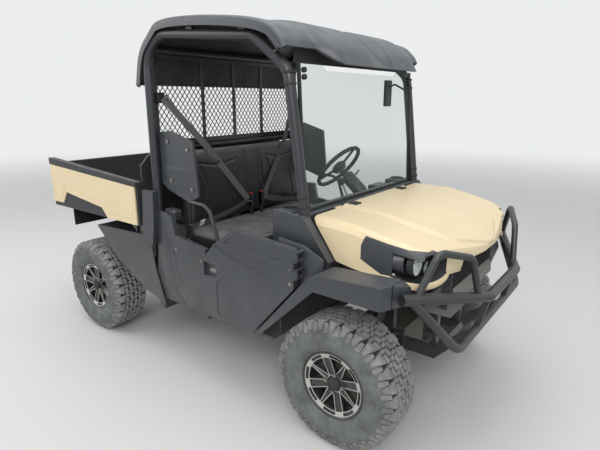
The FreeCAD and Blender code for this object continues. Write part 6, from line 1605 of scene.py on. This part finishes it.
    def guard_ends(self):
        """The open ends of the brush guard's upper tubes, with a near-black disc of painted shade inside.
        """
        end, before = Vector((1.291, 0.703, 0.844)), Vector((1.485, 0.284, 0.765))
        out = (end - before).normalized()
        rim = spun([(0.0252, 0.0), (0.0252, 0.004), (0.0210, 0.004), (0.0210, 0.0)], 40, "rim")
        turn = out.to_track_quat("Y", "Z").to_matrix().to_4x4()
        rim.data.transform(Matrix.Translation(end) @ turn)
        # A near-black disc inside the tube's mouth as painted shade.
        hole = disc(end + out * 0.0008, out, 0.0212, 0.0012, 32)
        kit = join([paint(smooth(rim, 40), "steel"), paint(hole, "black_and_painted_shade")], "ends")
        hand_over(both_sides(kit), "guard_tube_ends", "chassis", "black_steel")


# Which finish each node of the frame takes where it shows.
NODE_FINISH = {
    "steel": ("frame", "roll_cage", "rear_screen", "brush_guard", "front_arms", "rear_arms",
              "shocks", "steering_column", "handholds", "hitch_receiver"),
    "charcoal": ("floor_tub", "door_right", "door_left", "side_panels", "front_fenders", "cowl",
                 "shoulder_guards", "rear_fenders", "lamp_pods", "grille", "dashboard"),
    "roof": ("roof",),
    "tan": ("hood", "bed_panels"),
    "bed": ("bed_tub", "tailgate"),
    "casting": ("knuckle_right", "knuckle_left", "drive_line", "engine_block"),
    "plain_steel": ("muffler",),
    "glass": ("windscreen",),
    # The frame's headlamps take the near-white painted reflection.
    "reflector_painted_reflection": ("headlamps",),
    "red_lens": ("tail_lamps",),
    "soft_black": ("mirror", "belt_hardware", "steering_wheel"),
    "webbing": ("seat_belts",),
    "vinyl": ("seat_cushion", "seat_back"),
    "sidewall": tuple("tyre_" + name for name in WHEELS),
    "rim_black": tuple("rim_" + name for name in WHEELS),
}


class UTV_OT_finishes(bpy.types.Operator):
    """The finish of every frame node that shows"""

    bl_idname = "utv.finishes"
    bl_label = "Finishes"

    def execute(self, context):
        for finish, names in NODE_FINISH.items():
            for name in names:
                for slot in frame["nodes"][name].material_slots:
                    slot.material = FINISH[finish]
        missing = set(frame["nodes"]) - {n for names in NODE_FINISH.values() for n in names}
        if missing:
            raise RuntimeError("no finish for %s" % sorted(missing))
        return {"FINISHED"}


BACKDROP = "#F5F7F8"
GLOW = 0.92


def seen_rays(tree):
    """1 for rays of the camera, in mirrors and through clear sheets, otherwise 0."""
    way = add(tree, "ShaderNodeLightPath").outputs
    direct = add(tree, "ShaderNodeMath", {0: way["Is Camera Ray"], 1: way["Is Glossy Ray"]},
                 operation="MAXIMUM")
    return add(tree, "ShaderNodeMath", {0: direct, 1: way["Is Transmission Ray"]},
               operation="MAXIMUM")


class UTV_OT_stage(bpy.types.Operator):
    """Pale floor, soft studio light and the camera"""

    bl_idname = "utv.stage"
    bl_label = "Stage"

    def execute(self, context):
        self.floor()
        self.world(context)
        self.lights(context)
        self.camera(context)
        context.scene.view_settings.view_transform = "Standard"
        return {"FINISHED"}

    def floor(self):
        """Pale concrete that runs into the backdrop far from the vehicle."""
        deselect()
        bpy.ops.mesh.primitive_plane_add(size=360, location=(0, 0, 0))
        floor = bpy.context.object
        floor.name = "floor"
        material, tree, place = new_material("pale_concrete_floor")
        grain = add(tree, "ShaderNodeTexNoise", {"Vector": place, "Scale": 60.0, "Detail": 6.0})
        shade = add(tree, "ShaderNodeMapRange", {"Value": grain, "To Min": 0.94, "To Max": 1.04})
        base = add(tree, "ShaderNodeVectorMath", {"Vector": linear("#C9C9C8")[:3], "Scale": shade},
                   operation="SCALE")
        concrete = add(tree, "ShaderNodeBsdfPrincipled", {"Base Color": base, "Roughness": 0.9})
        distance = add(tree, "ShaderNodeVectorMath", {0: place}, operation="LENGTH")
        far = add(tree, "ShaderNodeMapRange", {
            "Value": distance.outputs["Value"], "From Min": 3.5, "From Max": 15.0},
                  interpolation_type="SMOOTHSTEP")
        share = add(tree, "ShaderNodeMath", {0: far, 1: seen_rays(tree)}, operation="MULTIPLY")
        backdrop = add(tree, "ShaderNodeEmission", {"Color": linear(BACKDROP), "Strength": GLOW})
        blend = add(tree, "ShaderNodeMixShader", {0: share, 1: concrete, 2: backdrop})
        add(tree, "ShaderNodeOutputMaterial", {"Surface": blend})
        floor.data.materials.append(material)

    def world(self, context):
        """A pale backdrop, dimmer as a light than it looks."""
        world = bpy.data.worlds.new("studio")
        context.scene.world = world
        world.use_nodes = True
        tree = world.node_tree
        tree.nodes.clear()
        strength = add(tree, "ShaderNodeMapRange", {
            "Value": seen_rays(tree), "To Min": 0.58, "To Max": GLOW})
        glow = add(tree, "ShaderNodeBackground", {"Color": linear(BACKDROP), "Strength": strength})
        add(tree, "ShaderNodeOutputWorld", {"Surface": glow})

    def lights(self, context):
        """Three soft boxes: name, place, size, power and target."""
        for name, place, size, power, target in (
                ("overhead", (0.4, -0.6, 7.0), 7.0, 330, (0, 0, 0.8)),
                ("key", (4.6, -6.0, 5.0), 3.6, 330, (0.2, 0, 0.8)),
                ("fill", (-5.0, -4.0, 3.6), 4.0, 110, (0, 0, 0.7))):
            lamp = bpy.data.lights.new(name, "AREA")
            lamp.size = size
            lamp.energy = power
            holder = bpy.data.objects.new(name, lamp)
            holder.location = place
            aim = Vector(target) - Vector(place)
            holder.rotation_euler = aim.to_track_quat("-Z", "Y").to_euler()
            context.scene.collection.objects.link(holder)

    def camera(self, context):
        """The camera where the photographer's stood."""
        camera = bpy.data.cameras.new("camera")
        camera.lens = 28.44
        camera.sensor_width = 36
        camera.clip_end = 200
        eye = bpy.data.objects.new("camera", camera)
        yaw, pitch = math.radians(127.318), math.radians(-14.917)
        level = math.cos(pitch)
        ahead = Vector((level * math.cos(yaw), level * math.sin(yaw), math.sin(pitch)))
        eye.location = (2.044, -2.379, 1.640)
        eye.rotation_euler = ahead.to_track_quat("-Z", "Y").to_euler()
        context.scene.collection.objects.link(eye)
        context.scene.camera = eye


STEPS = ("finishes", "panels", "tyres", "rims", "seats", "belts", "lamps", "grille", "guard_mesh",
         "roof", "screen", "steering", "details", "stage")


class UTV_PT_panel(bpy.types.Panel):
    """Lists the vehicle's pieces and settings"""

    bl_idname = "UTV_PT_panel"
    bl_label = "Utility Vehicle"
    bl_space_type = "VIEW_3D"
    bl_region_type = "UI"
    bl_category = "Utility Vehicle"

    def draw(self, context):
        for group in (context.scene.utv_sizes, context.scene.utv_colours):
            for name in group.__annotations__:
                self.layout.prop(group, name)
        for step in STEPS:
            self.layout.operator("utv." + step)


CLASSES = (UtvSizes, UtvColours, UTV_OT_finishes, UTV_OT_panels, UTV_OT_tyres, UTV_OT_rims,
           UTV_OT_seats, UTV_OT_belts, UTV_OT_lamps, UTV_OT_grille, UTV_OT_guard_mesh,
           UTV_OT_roof, UTV_OT_screen, UTV_OT_steering, UTV_OT_details, UTV_OT_stage, UTV_PT_panel)


def register():
    """Add the settings, the operators and the panel."""
    for kind in CLASSES:
        bpy.utils.register_class(kind)
    bpy.types.Scene.utv_sizes = bpy.props.PointerProperty(type=UtvSizes)
    bpy.types.Scene.utv_colours = bpy.props.PointerProperty(type=UtvColours)


def unregister():
    """Take the panel, the operators and the settings away."""
    del bpy.types.Scene.utv_colours
    del bpy.types.Scene.utv_sizes
    for kind in reversed(CLASSES):
        bpy.utils.unregister_class(kind)


def main():
    """Build every piece."""
    register()
    FINISH.update(build_materials(bpy.context.scene.utv_colours))
    for step in STEPS:
        getattr(bpy.ops.utv, step)()


if __name__ == "__main__":
    main()
